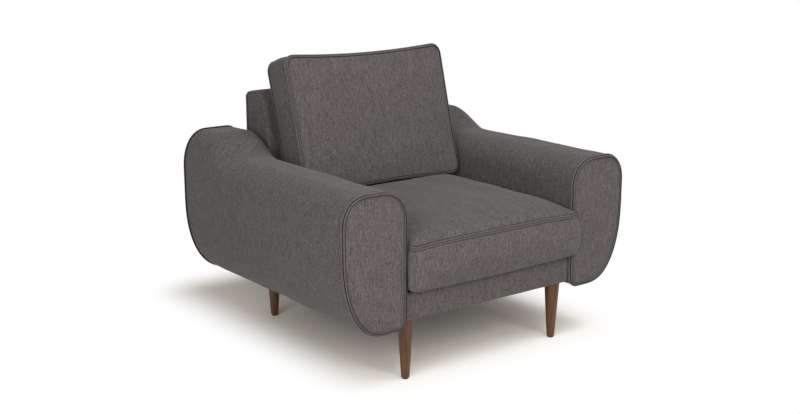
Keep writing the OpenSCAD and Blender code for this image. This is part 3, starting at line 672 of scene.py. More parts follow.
def swollen(points, faces, held, cap, pressure=4.0, slack=0.015):
    """Cloth simulation: a closed cover with a little slack swells for 20 steps under pressure from inside,
    with no gravity, while the held points stay. No point moves further than the cap."""
    work = add_mesh("swelling_cover", points, faces)
    work.vertex_groups.new(name="held").add([int(k) for k in np.unique(held)], 1.0, "REPLACE")
    cloth = work.modifiers.new("swell", "CLOTH")
    cloth.settings.quality = 6
    cloth.settings.vertex_group_mass = "held"
    cloth.settings.use_pressure = True
    cloth.settings.uniform_pressure_force = pressure
    cloth.settings.shrink_min = -slack
    cloth.settings.effector_weights.gravity = 0
    cloth.settings.bending_stiffness = 2.0
    cloth.point_cache.frame_start, cloth.point_cache.frame_end = 1, SWELL_STEPS
    scene = bpy.context.scene
    for step in range(1, SWELL_STEPS + 1):
        scene.frame_set(step)
    shaped = work.evaluated_get(bpy.context.evaluated_depsgraph_get()).to_mesh()
    moved = np.zeros(len(points) * 3)
    shaped.vertices.foreach_get("co", moved)
    bpy.data.objects.remove(work)
    scene.frame_set(1)
    move = moved.reshape(-1, 3) - points
    size = np.linalg.norm(move, axis=1, keepdims=True)
    return points + move * np.minimum(1, cap / np.maximum(size, 1e-9))


def settled(start, points, face, ring, crown_height, side_share):
    """Scales what the swelling did: on the face up to threefold, so that its top comes to the crown's
    height, and to a share on the sides."""
    points = points.copy()
    moved = points - start
    top, sides = face.ravel(), ring[1:-1].ravel()
    rise = max(moved[top, 2].max(), 1 * MM)
    points[top] = start[top] + moved[top] * min((crown_height - start[top, 2].max()) / rise, 3)
    points[sides] = start[sides] + moved[sides] * side_share
    return points


def puckered(x, y, half, middle, seed, height, wavelength):
    """What a seam does to the face beside it: fine gathers of 0.5 mm, 22 mm apart, that fade over 16 mm,
    on a slow unevenness of the given height and length. Both end at the seam, which lies half about the
    middle's y."""
    edge = np.maximum(from_edge(x, y - middle, (-half[0], -half[1]), half), 0)
    gathers = ripple(x + y, edge * 0.2, 22 * MM, seed) * near(edge, 0.5, 16)
    return (gathers + height * ripple(x, y, wavelength, seed + 1)) * smooth(edge / (9 * MM))


def eased(vectors, times=3):
    """Vectors round a loop, each averaged with its neighbours several times and made one long."""
    for _ in range(times):
        vectors = (np.roll(vectors, 1, 0) + 2 * vectors + np.roll(vectors, -1, 0)) / 4
    return unit(vectors)


def seam_frame(seam, inner, turn=1):
    """At each point of a seam, the way over the piece towards its next row of points, and the way out of
    its face."""
    over = eased(unit(inner - seam))
    along = unit(np.roll(seam, -1, 0) - np.roll(seam, 1, 0)) * turn
    return over, eased(np.cross(along, over))


# How a piece turns down beside a welt: places over the piece and out of its face, in mm. Under the seat's
# welt the turn shows, so it begins further out
ROLL = ((5.0, 0.5), (2.6, -0.5), (1.0, -2.2), (0.5, -5.0))
SEAT_ROLL = ((15.0, 0.6), (10.5, -0.6), (8.0, -3.0), (5.8, -6.0))


def rolled(seam, over, out, turn=ROLL):
    """The rows by which a piece turns down into its seam beside a welt, so that a deep crease shows
    there."""
    return np.stack([seam + over * (a * MM) + out * (b * MM) for a, b in turn])


def face_panel(name, grid, flat, roll=None, turned=False):
    """A cushion's panel: a grid of points, whose edge turns down by the rows of a roll where one is
    given."""
    face = numbers(*grid.shape[:2])
    squares, points, cloth = [quads(face)], grid.reshape(-1, 3), flat.reshape(-1, 2)
    if roll is not None:
        rows, cols = edge_places(grid.shape[1] - 1, grid.shape[0] - 1)
        edge = flat[rows, cols]
        ring = np.concatenate([face[rows, cols][None], numbers(len(roll) - 1, len(rows), face.size)])
        squares.append(quads(ring, closed=True)[:, ::-1])
        points[face[rows, cols]] = roll[0]
        points = np.concatenate([points, roll[1:].reshape(-1, 3)])
        cloth = np.concatenate([cloth, *(edge + unit(edge) * 2.5 * MM * k for k in range(1, len(roll)))])
    if turned:
        squares = [group[:, ::-1] for group in squares]
    return thicken(refine(patch(name, points, squares, cloth)))


def zip_slot(rows, row, first, count, node):
    """Marks a boxing's squares that a zip's slot leaves out: those of one row, along the side whose count
    of squares begins at first, and no further out than the zip."""
    middle = (rows[:-1] + np.roll(rows[:-1], -1, 1)) / 2
    slot = np.zeros(middle.shape[:2], bool)
    slot[row, first:first + count] = np.abs(middle[row, first:first + count, 0]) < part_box(node)[1].x
    return slot.ravel()


def boxing_strip(name, rows, lengthwise, slot):
    """The strip between two seams, rows (k, n, 3) of points from one seam to the other. lengthwise lays
    the weave's streaks along the strip. slot marks the squares that are left out for a zip."""
    across, length = np.meshgrid(run_length(rows.mean(1), 0), closed_length(rows[:1])[0], indexing="ij")
    flat = places(across, length) if lengthwise else places(length, across)
    faces = quads(numbers(*rows.shape[:2]), True)[:, ::-1]
    corners = flat.reshape(-1, 2)[quads(numbers(*flat.shape[:2]))][:, ::-1]
    return thicken(refine(add_mesh(name, rows, faces[~slot], corners[~slot])))


def foam_core(name, body, node, points, faces, inset):
    """The foam inside a cover: the cover's own shape, drawn in along its normals."""
    corners = points[faces]
    normal = np.cross(corners[:, 2] - corners[:, 0], corners[:, 3] - corners[:, 1])
    total = np.zeros_like(points)
    for k in range(4):
        np.add.at(total, faces[:, k], normal)
    core = refine(add_mesh(name, points - unit(total) * inset, faces, np.zeros((faces.size, 2))))
    dress(core, body, foam, node)


# ---- Sizes of the loose cushions and the fixed back ----

START_RISE = 0.86         # share of its crown that a cover has before it swells
ZIP_SLOT = 12 * MM

SEAT_LOW, SEAT_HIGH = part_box("seat_cushion_boxing")
SEAT_TOP_Z = SEAT_HIGH.z
SEAT_HALF = ((SEAT_HIGH.x - SEAT_LOW.x) / 2, (SEAT_HIGH.y - SEAT_LOW.y) / 2)
SEAT_MID = (SEAT_HIGH.y + SEAT_LOW.y) / 2
SEAT_REAR = SEAT_MID + SEAT_HALF[1]
SEAT_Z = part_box("seat_cushion_bottom")[0].z
SLOT_Z = (SEAT_TOP_Z + SEAT_Z) / 2
SEAT_COUNTS = (52, 58)
SEAT_CORNER = 36 * MM
SEAT_CROWN = 47 * MM
SEAT_ROUND = 22 * MM        # radius of the soft lower edge
SEAT_SIDE = 9 * MM        # room between the cushion's seams and the arms
SEAT_BOW = 9 * MM         # how far the front corners lie behind the middle, and the top seam dips there
SEAT_OUT = 1.6 * MM        # how far its seams stand outside the box of its boxing
SEAT_POWERS = (9.0, 4.5)    # of the crown, from side to side and from front to rear: the higher, the boxier
SEAT_SIDES = 0.75         # share of the swelling that its sides keep
SEAT_CAP = 26 * MM
SEAT_FOAM_IN = 11 * MM
# How far the left and right front corners spread in front of the arms: at their seams, and more between
NOSE_SEAM = (20 * MM, 31 * MM)
NOSE_MID = (9 * MM, 24 * MM)
NOSE_ROOM = (30 * MM, 52 * MM)

BACK_FRONT_LOW, BACK_FRONT_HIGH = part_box("back_cushion_front")
BACK_LEAN = math.radians(15.5)
BACK_T = 112 * MM
BACK_H = 430 * MM
BACK_HALF = (BACK_FRONT_HIGH.x + 8 * MM, BACK_H / 2)
BACK_COUNTS = (50, 36)
BACK_CORNER = 30 * MM
BACK_CROWN = 27 * MM
REAR_CROWN = 10 * MM
BACK_POWERS = (2.8, 2.8)
BACK_SIDES = 0.4
BACK_CAP = 24 * MM
BACK_FOAM_IN = 6 * MM
BACK_SINK = 4.5 * MM      # how far the cushion presses its own underside into the seat's top
BACK_REST = 1.2 * MM      # gap between its rear and the padded back
BACK_UP = np.array([0, math.sin(BACK_LEAN), math.cos(BACK_LEAN)])
BACK_FORWARD = np.array([0, -math.cos(BACK_LEAN), math.sin(BACK_LEAN)])
BACK_FOOT = np.array([0, BACK_FRONT_LOW.y, BACK_FRONT_LOW.z + CLOTH_T * math.sin(BACK_LEAN)])
BACK_MID = BACK_FOOT + BACK_UP * BACK_HALF[1]

SLAB_LOW, SLAB_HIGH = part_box("back_cover")
SLAB_LEAN = math.tan(math.radians(11))


# ---- Seat cushion ----

def by_side(points, pair):
    """For each point, the left or the right value of a pair."""
    return np.take(pair, (points[..., 0] > 0).astype(int))


def nose_spread(points, level=0.0):
    """The seat cushion spreads sideways where it passes the arms' front ends, the right corner further
    than the left. It spreads more towards its sides, and most at mid height, where level is half."""
    in_front = smooth((ARM_FRONT + 2 * MM - points[..., 1]) / (17 * MM))
    share = in_front * np.abs(points[..., 0] / SEAT_HALF[0]) ** 5
    reach = by_side(points, NOSE_SEAM) + by_side(points, NOSE_MID) * np.sin(np.pi * np.clip(level, 0, 1))
    spread = points.copy()
    spread[..., 0] += np.sign(points[..., 0]) * reach * np.minimum(share, 1)
    return spread


def seat_outline(inset=0.0):
    """The seat cushion's edge seen from above, with its front bowed: the front corners lie 9 mm behind the
    middle."""
    half = (SEAT_HALF[0] + SEAT_OUT - inset, SEAT_HALF[1] - inset)
    loop = rounded_loop(half, SEAT_CORNER, SEAT_COUNTS)
    loop[:, 1] += SEAT_BOW * (loop[:, 0] / half[0]) ** 2 * smooth(-loop[:, 1] / half[1])
    return loop + np.array([0, SEAT_MID])


def seat_cover():
    """The seat cushion's closed cover, swollen. Its top seam dips by 9 mm just inside the front corners,
    its lower edge is a quarter round, its sides press flat on the arms, and its top is pressed down under
    the back cushion."""
    loop = seat_outline()
    fx, fy = loop[:, 0] / SEAT_HALF[0], (loop[:, 1] - SEAT_MID) / SEAT_HALF[1]
    dip = SEAT_BOW * np.abs(fx) ** 4 * smooth((-fy - 0.89) / 0.09) + 2 * MM * np.abs(fx) ** 3
    grid = filled(places(*loop.T, SEAT_TOP_Z - dip), SEAT_COUNTS)
    grid[..., 2] += START_RISE * SEAT_CROWN * crown(SEAT_COUNTS, SEAT_POWERS, 0.5)

    angle = np.linspace(0, np.pi / 2, 6)[1:]
    straight = np.concatenate([np.linspace(SEAT_TOP_Z, SLOT_Z + ZIP_SLOT / 2, 7),
                               np.linspace(SLOT_Z - ZIP_SLOT / 2, SEAT_Z + SEAT_ROUND, 5)])
    levels = np.concatenate([straight, SEAT_Z + SEAT_ROUND * (1 - np.sin(angle))])
    insets = np.concatenate([0 * straight, SEAT_ROUND * (1 - np.cos(angle))])
    share = (levels - SEAT_Z) / (SEAT_TOP_Z - SEAT_Z)
    rows = np.stack([places(*seat_outline(inset).T, level - dip * part)
                     for level, inset, part in zip(levels, insets, share)])
    base = filled(rows[-1], SEAT_COUNTS)
    start, faces, face, back, ring = closed_shell(nose_spread(grid), nose_spread(base),
                                                  nose_spread(rows[1:-1], share[1:-1, None]))
    at_rear = ring[:, rows[0, :, 1] > SEAT_REAR - 1 * MM]
    points = swollen(start, faces, np.concatenate([ring[0], back.ravel(), at_rear.ravel()]), SEAT_CAP)
    points = settled(start, points, face, ring, SEAT_TOP_Z + SEAT_CROWN, SEAT_SIDES)

    # The sides press flat on the back and the arms, in front of which the corners have more room
    sides = ring[1:-1].ravel()
    points[sides, 1] = np.minimum(points[sides, 1], SEAT_REAR)
    beside = smooth((points[:, 1] - ARM_FRONT + 12 * MM) / (14 * MM))
    room = INNER_X - SEAT_SIDE + (1 - beside) * by_side(points, NOSE_ROOM)
    points[:, 0] = np.clip(points[:, 0], -room, room)
    points[:, 2] = np.maximum(points[:, 2], SEAT_Z)

    # The back cushion presses the top down to its own underside
    top = face.ravel()
    x, y, z = points[top].T
    pressed = BACK_FOOT[2] - (y - BACK_FOOT[1]) * math.tan(BACK_LEAN) - BACK_SINK
    z = np.where(y > BACK_FOOT[1] - 12 * MM, np.minimum(z, pressed), z)
    points[top, 2] = z + puckered(x, y, SEAT_HALF, SEAT_MID, 51, 0.9 * MM, 190 * MM)
    return points, faces, face, back, ring


def seat_cushion():
    """The seat cushion's panels, boxing, welt and foam."""
    points, faces, face, back, ring = seat_cover()
    rows = points[ring]
    over, out = seam_frame(rows[0], next_in(points[face]))
    down, side_out = seam_frame(rows[0], rows[1], -1)
    flat = filled(seat_outline(), SEAT_COUNTS)
    panel = face_panel("seat_top_panel", points[face], flat)
    soft_cloth(panel, "seat_cushion", "seat_cushion_top")
    under = face_panel("seat_bottom_panel", points[back], flat, turned=True)
    dress(under, "seat_cushion", lining, "seat_cushion_bottom")
    creased = np.concatenate([rolled(rows[0], down, side_out, SEAT_ROLL)[::-1], rows[2:]])
    row = int(np.argmin(np.abs(creased[:-1].mean(1)[:, 2] - SLOT_Z - ZIP_SLOT / 2)))
    slot = zip_slot(creased, row, sum(SEAT_COUNTS), SEAT_COUNTS[0], "seat_cushion_zip")
    strip = boxing_strip("seat_boxing", creased, False, slot)
    soft_cloth(strip, "seat_cushion", "seat_cushion_boxing")
    double_welt("seat_top_welt", "seat_cushion", "seat_cushion_welt", rows[0], over, out)
    foam_core("seat_foam", "seat_cushion", "seat_cushion_core", points, faces, SEAT_FOAM_IN)


# ---- Back cushion ----

def back_outline():
    """The back cushion's edge seen from its front: the top dips 14 mm between its corners, the sides 2.5
    mm, and the lower side lifts 10 mm in its middle, where it stands on the seat's crown."""
    loop = rounded_loop(BACK_HALF, BACK_CORNER, BACK_COUNTS)
    fa, fb = loop[:, 0] / BACK_HALF[0], loop[:, 1] / BACK_HALF[1]
    top, low = np.maximum(fb, 0) ** 8, np.maximum(-fb, 0) ** 8
    loop[:, 1] += top * (7 * MM - 14 * MM * (1 - fa ** 2)) + low * (10 * MM * (1 - fa ** 2) - 5 * MM)
    loop[:, 0] -= np.sign(fa) * np.abs(fa) ** 8 * 2.5 * MM * (1 - fb ** 2)
    return loop


def back_cover_shell():
    """The back cushion's closed cover, swollen. It rests with its rear against the padded back and its
    lower side on the seat, and its sides spread between the seams by 6 mm."""
    loop = back_outline()
    front = filled(places(*loop.T, 0.0), BACK_COUNTS)
    rear = filled(places(*loop.T, -BACK_T), BACK_COUNTS)
    front[..., 2] += START_RISE * BACK_CROWN * crown(BACK_COUNTS, BACK_POWERS, 0.8)
    rear[..., 2] -= REAR_CROWN * crown(BACK_COUNTS, BACK_POWERS, 0.8)
    depth = -np.concatenate([np.linspace(0, (BACK_T - ZIP_SLOT) / 2, 5),
                             np.linspace((BACK_T + ZIP_SLOT) / 2, BACK_T, 5)])[:, None]
    free = smooth((loop[:, 1] + BACK_HALF[1]) / (70 * MM))
    swell = 6 * MM * np.sin(np.pi * depth / -BACK_T) * free
    rows = loop + unit(loop * np.array([1, 1.4])) * swell[..., None]
    rows = places(rows[..., 0], rows[..., 1], depth)
    start, faces, face, back, ring = closed_shell(front, rear, rows[1:-1])
    low = ring[:, loop[:, 1] < -BACK_HALF[1] + 30 * MM]
    points = swollen(start, faces, np.concatenate([ring[0], ring[-1], low.ravel()]), BACK_CAP)
    points = settled(start, points, face, ring, BACK_CROWN, BACK_SIDES)
    top = face.ravel()
    points[top, 2] += puckered(*points[top, :2].T, BACK_HALF, 0, 61, 0.8 * MM, 170 * MM)

    # In the chair, its rear lies against the leaning face of the back up to the face's upper end
    points = BACK_MID + points @ np.stack([ACROSS, BACK_UP, BACK_FORWARD])
    limit = SLAB_LOW.y + (points[:, 2] - SLAB_LOW.z) * SLAB_LEAN - BACK_REST
    limit = np.where(points[:, 2] > SLAB_HIGH.z - 70 * MM, 1.0, limit)
    points[:, 1] = np.minimum(points[:, 1], limit)
    return points, faces, face, back, ring


def back_cushion():
    """The back cushion's panels, boxing, two welts and foam."""
    points, faces, face, back, ring = back_cover_shell()
    rows = points[ring]
    flat = filled(back_outline(), BACK_COUNTS)
    for name, grid, seam, turn in (("front", points[face], rows[0], 1), ("rear", points[back], rows[-1], -1)):
        roll = rolled(seam, *seam_frame(seam, next_in(grid), turn))
        panel = face_panel(f"back_cushion_{name}_panel", grid, flat, roll, turned=turn < 0)
        soft_cloth(panel, "back_cushion", "back_cushion_" + name)
    slot = zip_slot(rows, len(rows) // 2 - 1, 0, BACK_COUNTS[0], "back_cushion_zip")
    strip = boxing_strip("back_cushion_gusset", rows, True, slot)
    soft_cloth(strip, "back_cushion", "back_cushion_boxing")
    for name, seam, inner, turn, lean in (("front", rows[0], rows[1], -1, WELT_TURN),
                                          ("rear", rows[-1], rows[-2], 1, WELT_TURN / 2)):
        double_welt(f"back_cushion_{name}_welt", "back_cushion", "back_cushion_welts", seam,
                    *seam_frame(seam, inner, turn), lean)
    foam_core("back_cushion_foam", "back_cushion", "back_cushion_core", points, faces, BACK_FOAM_IN)


# ---- Zips ----

TOOTH_PITCH = 2.5 * MM
TOOTH_HALF = np.array([0.85, 1.05, 0.75]) * MM
TOOTH_SIDE = 0.55 * MM      # from the slit's middle to a tooth's
TOOTH_SINK = 0.9 * MM
TAPE_W = ZIP_SLOT / 2 + 1 * MM
TAPE_SINK = 1.4 * MM        # how deep the tapes lie under the boxing's face


def boxes(centres, half, axes):
    """Points and faces of many small blocks: half sizes (3,) along axes (3, 3) about centres (n, 3)."""
    signs = np.array([[x, y, z] for x in (-1, 1) for y in (-1, 1) for z in (-1, 1)])
    corners = centres[:, None] + ((signs * half) @ axes)[None]
    block = np.array([[0, 1, 3, 2], [4, 6, 7, 5], [0, 4, 5, 1], [2, 3, 7, 6], [0, 2, 6, 4], [1, 5, 7, 3]])
    if np.linalg.det(axes) < 0:
        block = block[:, ::-1]
    return corners.reshape(-1, 3), (block[None] + 8 * np.arange(len(centres))[:, None, None]).reshape(-1, 4)


def zip_fastener(name, body, middle, across, out):
    """A zip laid along X: two woven tapes with a slit between them, and two rows of teeth that mesh in it.
    across leads over a tape from the slit, and out from the cushion. middle is the slit's middle."""
    node = body + "_zip"
    low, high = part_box(node)
    x = np.linspace(low.x, high.x, 60)
    v = np.array([0.5 * MM, TAPE_W * 0.5, TAPE_W])
    for k, sign in enumerate((-1, 1)):
        points = middle - out * TAPE_SINK + x[:, None] * ACROSS + (sign * v)[:, None, None] * across
        turned = np.dot(np.cross([sign, 0, 0], across), out) > 0
        tape = surface(f"{name}_tape_{k + 1}", points, places(v[:, None], x), flip=turned)
        dress(thicken(tape, 0.7 * MM, 0), body, tape_cloth, node)
    count = int((high.x - low.x - 8 * MM) / TOOTH_PITCH)
    place = low.x + 4 * MM + TOOTH_PITCH * np.arange(count)
    sign = np.where(np.arange(count) % 2 == 0, -1, 1)
    centres = middle + place[:, None] * ACROSS + (sign * TOOTH_SIDE)[:, None] * across - out * TOOTH_SINK
    teeth = add_mesh(name + "_teeth", *boxes(centres, TOOTH_HALF, np.stack([ACROSS, across, out])))
    dress(add_modifier(teeth, "edge", "BEVEL", width=0.2 * MM), body, tooth_plastic, node)


def zips():
    """The seat cushion's zip in its rear boxing, and the back cushion's in the boxing under it."""
    low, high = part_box("seat_cushion_zip")
    up, rearwards = np.array([0, 0, 1.0]), np.array([0, 1.0, 0])
    zip_fastener("seat_zip", "seat_cushion", np.array([0, SEAT_REAR, (low.z + high.z) / 2]), up, rearwards)
    zip_fastener("back_zip", "back_cushion", BACK_FOOT - BACK_FORWARD * BACK_T / 2, BACK_FORWARD, -BACK_UP)


# ---- Fixed back ----

SLAB_CURVE = 150 * MM     # how far below the top its straight face ends
# Its shoulder, Y and Z in mm from where the face ends, and its ridge and rear edge, in mm from the origin
SLAB_BEND = ((0, 0), (11, 52), (24, 98), (36, 131))
SLAB_TOP = ((370, 755), (397, 753), (427, 749), (437, 741))
WRAP_IN = 2 * MM          # from the side of the back to the edge of its wrap
SIDE_IN = 4 * MM          # from the back's profile to the edge of a side panel


def slab_profile():
    """The back's side view, from the foot of its face up over the rounded top to its rear edge: a straight
    leaning face, then a smooth curve through the shoulder, the ridge and the rear edge."""
    start = SLAB_HIGH.z - SLAB_CURVE
    bend = np.array([SLAB_LOW.y + (start - SLAB_LOW.z) * SLAB_LEAN, start])
    face = np.linspace([SLAB_LOW.y, SLAB_LOW.z], bend, 40, endpoint=False)
    top = np.concatenate([bend + np.array(SLAB_BEND) * MM, np.array(SLAB_TOP) * MM])
    return np.concatenate([face, curve_through(top, 30)])


def slab_normal(profile):
    """The way out of the back's cloth at each point of its side view."""
    tangent = unit(np.gradient(profile, axis=0))
    return places(-tangent[:, 1], tangent[:, 0])


def slab_wrap(profile):
    """The cloth over the back's face and top: its profile carried across, rolled down by 4 mm at each side
    seam."""
    half = SLAB_HIGH.x - WRAP_IN
    x = finer_at_ends(half, (0, 1.5, 4, 9), 18, 60)
    uneven = 0.3 * MM * ripple(*np.meshgrid(x, profile[:, 1]), 150 * MM, 71)
    puff = uneven - near(half - np.abs(x), 4, 5) - 0.6 * MM
    yz = profile[:, None] + slab_normal(profile)[:, None] * puff[..., None]
    flat = np.stack(np.meshgrid(x, run_length(profile, 0)), -1)
    wrap = surface("back_wrap", places(x, yz[..., 0], yz[..., 1]), flat)
    soft_cloth(thicken(wrap), "frame", "back_cover")


def slab_side(profile, side):
    """One side panel of the back: lines from the rear edge forwards to the profile, drawn in by 4 mm. Its
    face rolls in by 8 mm at its edges."""
    sign = -1 if side == "left" else 1
    profile = profile - slab_normal(profile) * SIDE_IN
    rear = places(profile[-1, 0], np.minimum(profile[:, 1], profile[-1, 1]))
    t = np.concatenate([[0, 0.012, 0.035, 0.07], np.linspace(0.12, 0.88, 14), [0.93, 0.965, 0.988, 1]])
    yz = rear[:, None] * (1 - t)[None, :, None] + profile[:, None] * t[None, :, None]
    width = np.abs(profile[:, :1] - rear[:, :1])
    edge = np.minimum(width * np.minimum(t, 1 - t), (SLAB_HIGH.z - 2 * MM - yz[..., 1]).clip(0))
    out = -near(edge, 5, 22) - near(edge, 3, 4.5)
    points = places(sign * (SLAB_HIGH.x + out), yz[..., 0], yz[..., 1])
    soft_cloth(thicken(surface("back_side_" + side, points, yz, flip=sign > 0)), "frame", "back_cover")


def outside_panel():
    """The cloth panel that closes the rear: flat, drawn over its edges, puffed by 3 mm between them, and
    with its upper corners dropped by 4 mm."""
    low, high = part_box("outside_back")
    x, z = np.meshgrid(np.linspace(low.x, high.x, 74), np.linspace(low.z, high.z, 64))
    edge = from_edge(x, z, (low.x, low.z), (high.x, high.z))
    out = 3 * MM - near(edge, 3, 30) - near(edge, 3.5, 4)
    out = out + 0.5 * MM * ripple(x, z, 200 * MM, 72) * smooth(edge / (40 * MM))
    dropped = near(high.x - np.abs(x), 4, 5) * smooth((z - high.z + 60 * MM) / (60 * MM))
    points = places(x, high.y - 0.5 * MM + out, z - dropped)
    panel = surface("outside_back_panel", points, places(x, z), flip=True)
    soft_cloth(thicken(panel), "frame", "outside_back")


def back_foam(profile):
    """The foam behind the back's cloth: the same profile drawn in by 4 mm, closed behind the springing
    straps."""
    yz = profile + np.array([4 * MM, -4 * MM])
    behind = places(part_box("back_webbing")[0].y - 1 * MM, np.linspace(yz[-1, 1] - 30 * MM, yz[0, 1], 30))
    ring = np.concatenate([yz[yz[:, 0] < behind[0, 0] - 2 * MM], behind])
    x = np.linspace(SLAB_LOW.x + 8 * MM, SLAB_HIGH.x - 8 * MM, 40)
    x = np.concatenate([x[:1], x, x[-1:]])
    middle = ring.mean(0)
    rings = np.stack([middle + (ring - middle) * (0 < k < len(x) - 1) for k in range(len(x))])
    points = places(x[:, None], rings[..., 0], rings[..., 1])
    piece = surface("back_foam", points, np.zeros((len(x), len(ring) + 1, 2)), closed=True, flip=True)
    dress(weld(piece), "frame", foam, "back_pad")


STRAPS = 5
STRAP_W = 50 * MM


def webbing():
    """Straps stretched across the back posts, each as thick as its weave and drawn in by 1 mm between the
    posts."""
    low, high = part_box("back_webbing")
    x = np.linspace(low.x, high.x, 80)
    v = np.linspace(-1, 1, 9)[:, None]
    for k in range(STRAPS):
        z = low.z + STRAP_W / 2 + (high.z - low.z - STRAP_W) * k / (STRAPS - 1)
        waist = STRAP_W / 2 - 1 * MM * (1 - (x / high.x) ** 2)
        strap = surface(f"back_strap_{k + 1}", places(x, high.y, z + v * waist), places(v * STRAP_W / 2, x))
        dress(thicken(strap, high.y - low.y), "frame", jute_webbing, "back_webbing")


# ---- Seat deck, border and underside ----

def border():
    """The padded border under the seat cushion: its section rises from the rail's underside round a 9 mm
    edge, up a face that swells by 3 mm, and back over the rail. Its ends turn back by 8 mm beside the arms
    and lift by 1 mm. Its foam follows the same section inside it."""
    low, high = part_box("front_border_cover")
    y, z = low.y, low.z
    section = curve_through([(high.y, z + 0.6 * MM), (y + 6 * MM, z + 0.4 * MM), (y + 0.8 * MM, z + 7 * MM),
                             (y - 2.2 * MM, z + 28 * MM), (y - 2 * MM, high.z - 26 * MM),
                             (y + 1.4 * MM, high.z - 5 * MM), (high.y, high.z - 0.6 * MM)], 44)
    half = high.x + 1.2 * MM
    x = finer_at_ends(half, (0, 0.7, 2, 5), 11, 90)
    edge = half - np.abs(x)
    at_y, at_z = section[:, :1], section[:, 1:]
    uneven = 0.5 * MM * ripple(*np.broadcast_arrays(x, at_z), 120 * MM, 81)
    lift = near(edge, 1, 7) * smooth((z + 40 * MM - at_z) / (40 * MM))
    points = places(x, np.minimum(at_y + near(edge, 8, 1.3) + uneven, high.y), at_z + lift)
    made = surface("front_border", points, places(x, run_length(section, 0)[:, None]))
    soft_cloth(thicken(made, 1.5 * MM), "frame", "front_border_cover")

    low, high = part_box("front_border_pad")
    y, z = low.y, low.z
    section = curve_through([(high.y, z + 1 * MM), (y + 2 * MM, z + 4 * MM), (y, z + 20 * MM),
                             (y, high.z - 20 * MM), (y + 2 * MM, high.z - 3 * MM),
                             (high.y, high.z - 1 * MM)], 26)
    x = np.linspace(low.x + 16 * MM, high.x - 16 * MM, 50)
    made = surface("front_border_foam", places(x, section[:, :1] + 0.4 * MM, section[:, 1:]),
                   places(x, section[:, 1:]))
    dress(thicken(made, 3.5 * MM), "frame", foam, "front_border_pad")


def level_sheet(node, inset, counts):
    """The box of a level node, the X and Y of a grid over it and their distance from the grid's edge."""
    low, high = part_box(node)
    x, y = np.meshgrid(np.linspace(low.x + inset, high.x - inset, counts[0]),
                       np.linspace(low.y + inset, high.y - inset, counts[1]))
    return low, high, x, y, from_edge(x, y, (low.x, low.y), (high.x, high.y)) - inset


RIDGE_STEP = 38 * MM        # between the springs' runs, which show through the deck


def deck():
    """The felt pad over the springs, soft at its edges, and the cloth stretched over it, which shows the
    springs' runs as faint ridges."""
    low, high, x, y, edge = level_sheet("deck_pad", 1 * MM, (70, 84))
    pad = surface("deck_felt", places(x, y, high.z - 0.2 * MM - near(edge, 3, 8)), places(x, y))
    dress(thicken(pad, high.z - low.z - 1 * MM), "frame", felt, "deck_pad")
    low, high, x, y, edge = level_sheet("deck_cover", 0, (80, 100))
    ridge = 0.4 * MM * np.cos(2 * np.pi * y / RIDGE_STEP) * smooth(edge / (30 * MM))
    cloth = surface("deck_cloth", places(x, y, high.z - 0.5 * MM + ridge - near(edge, 0.8, 10)), places(x, y))
    dress(thicken(cloth, 1.5 * MM), "frame", lining, "deck_cover")


def dust_sheet():
    """The thin cloth tacked under the seat. It hangs 3 mm between its edges, and meets the four leg bolts
    there."""
    low, high, x, y, edge = level_sheet("dust_cover", 0, (70, 90))
    sag = 2.5 * MM - near(edge, 2.5, 90) + 0.3 * MM * ripple(x, y, 70 * MM, 91) * smooth(edge / (25 * MM))
    cloth = surface("dust_cloth_sheet", places(x, y, high.z - 0.2 * MM - sag), places(x, y), flip=True)
    dress(thicken(cloth, 0.5 * MM), "frame", dust_cloth, "dust_cover")


# ---- Legs ----

FOOT_R = 12.5 * MM
FOOT_ROUND = 2 * MM


def leg(node):
    """A turned leg: a straight taper with a 2 mm round at its foot and a flat top, closed by a point at
    each end."""
    low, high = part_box(node)
    centre = np.array([(low.x + high.x) / 2, (low.y + high.y) / 2])
    top_r, tall = (high.x - low.x) / 2, high.z - low.z
    turn = np.linspace(0, np.pi / 2, 6)
    taper = np.linspace(0, 1, 34)[1:]
    radius = np.concatenate([[0, FOOT_R * 0.6], FOOT_R - FOOT_ROUND * (1 - np.sin(turn)),
                             FOOT_R + (top_r - FOOT_R) * taper, [top_r - 0.8 * MM, 0]])
    height = np.concatenate([[0, 0], FOOT_ROUND * (1 - np.cos(turn)),
                             FOOT_ROUND + (tall - FOOT_ROUND - 0.6 * MM) * taper, [tall, tall]])
    angle = np.linspace(0, 2 * np.pi, 64, endpoint=False)
    xy = centre + radius[:, None, None] * places(np.cos(angle), np.sin(angle))
    points = places(xy[..., 0], xy[..., 1], low.z + height[:, None])
    flat = np.stack(np.meshgrid(np.linspace(0, 2 * np.pi * top_r, 65), height), -1)
    piece = weld(surface("turned_" + node, points, flat, closed=True), 0.001 * MM)
    dress(piece, "frame", walnut, node)


for side in SIDES:
    arm_sleeve(side)
    for end in ("front", "rear"):
        arm_facing(side, end)
        arm_welt(side, end)
seat_cushion()
back_cushion()
zips()
slab = slab_profile()
slab_wrap(slab)
for side in SIDES:
    slab_side(slab, side)
outside_panel()
back_foam(slab)
webbing()
border()
deck()
dust_sheet()
for corner in ("front_left", "front_right", "rear_left", "rear_right"):
    leg("leg_" + corner)
for side in SIDES:
    arm_foam(side)

# Pieces that keep their own shape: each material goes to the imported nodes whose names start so
KEPT = ((beech, ("front_rail", "rear_rail", "side_rail", "arm_top_rail", "corner_blocks")),
        (beech_upright, ("back_post", "back_top_rail")),
        (plywood, ("arm_front_board", "arm_rear_board", "arm_inner_board")),
        (spring_steel, ("seat_springs",)),
        (clip_steel, ("spring_clips",)),
        (zinc_steel, ("leg_bolts", "leg_nuts", "arm_bolts")),
        (nylon, ("leg_glides",)),
        (nickel, ("seat_zip_slider", "back_zip_slider")))
for finish, names in KEPT:
    for name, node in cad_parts.items():
        if name.startswith(names):
            node.data.materials.clear()
            node.data.materials.append(finish)


# ---- Camera, lights and floor ----

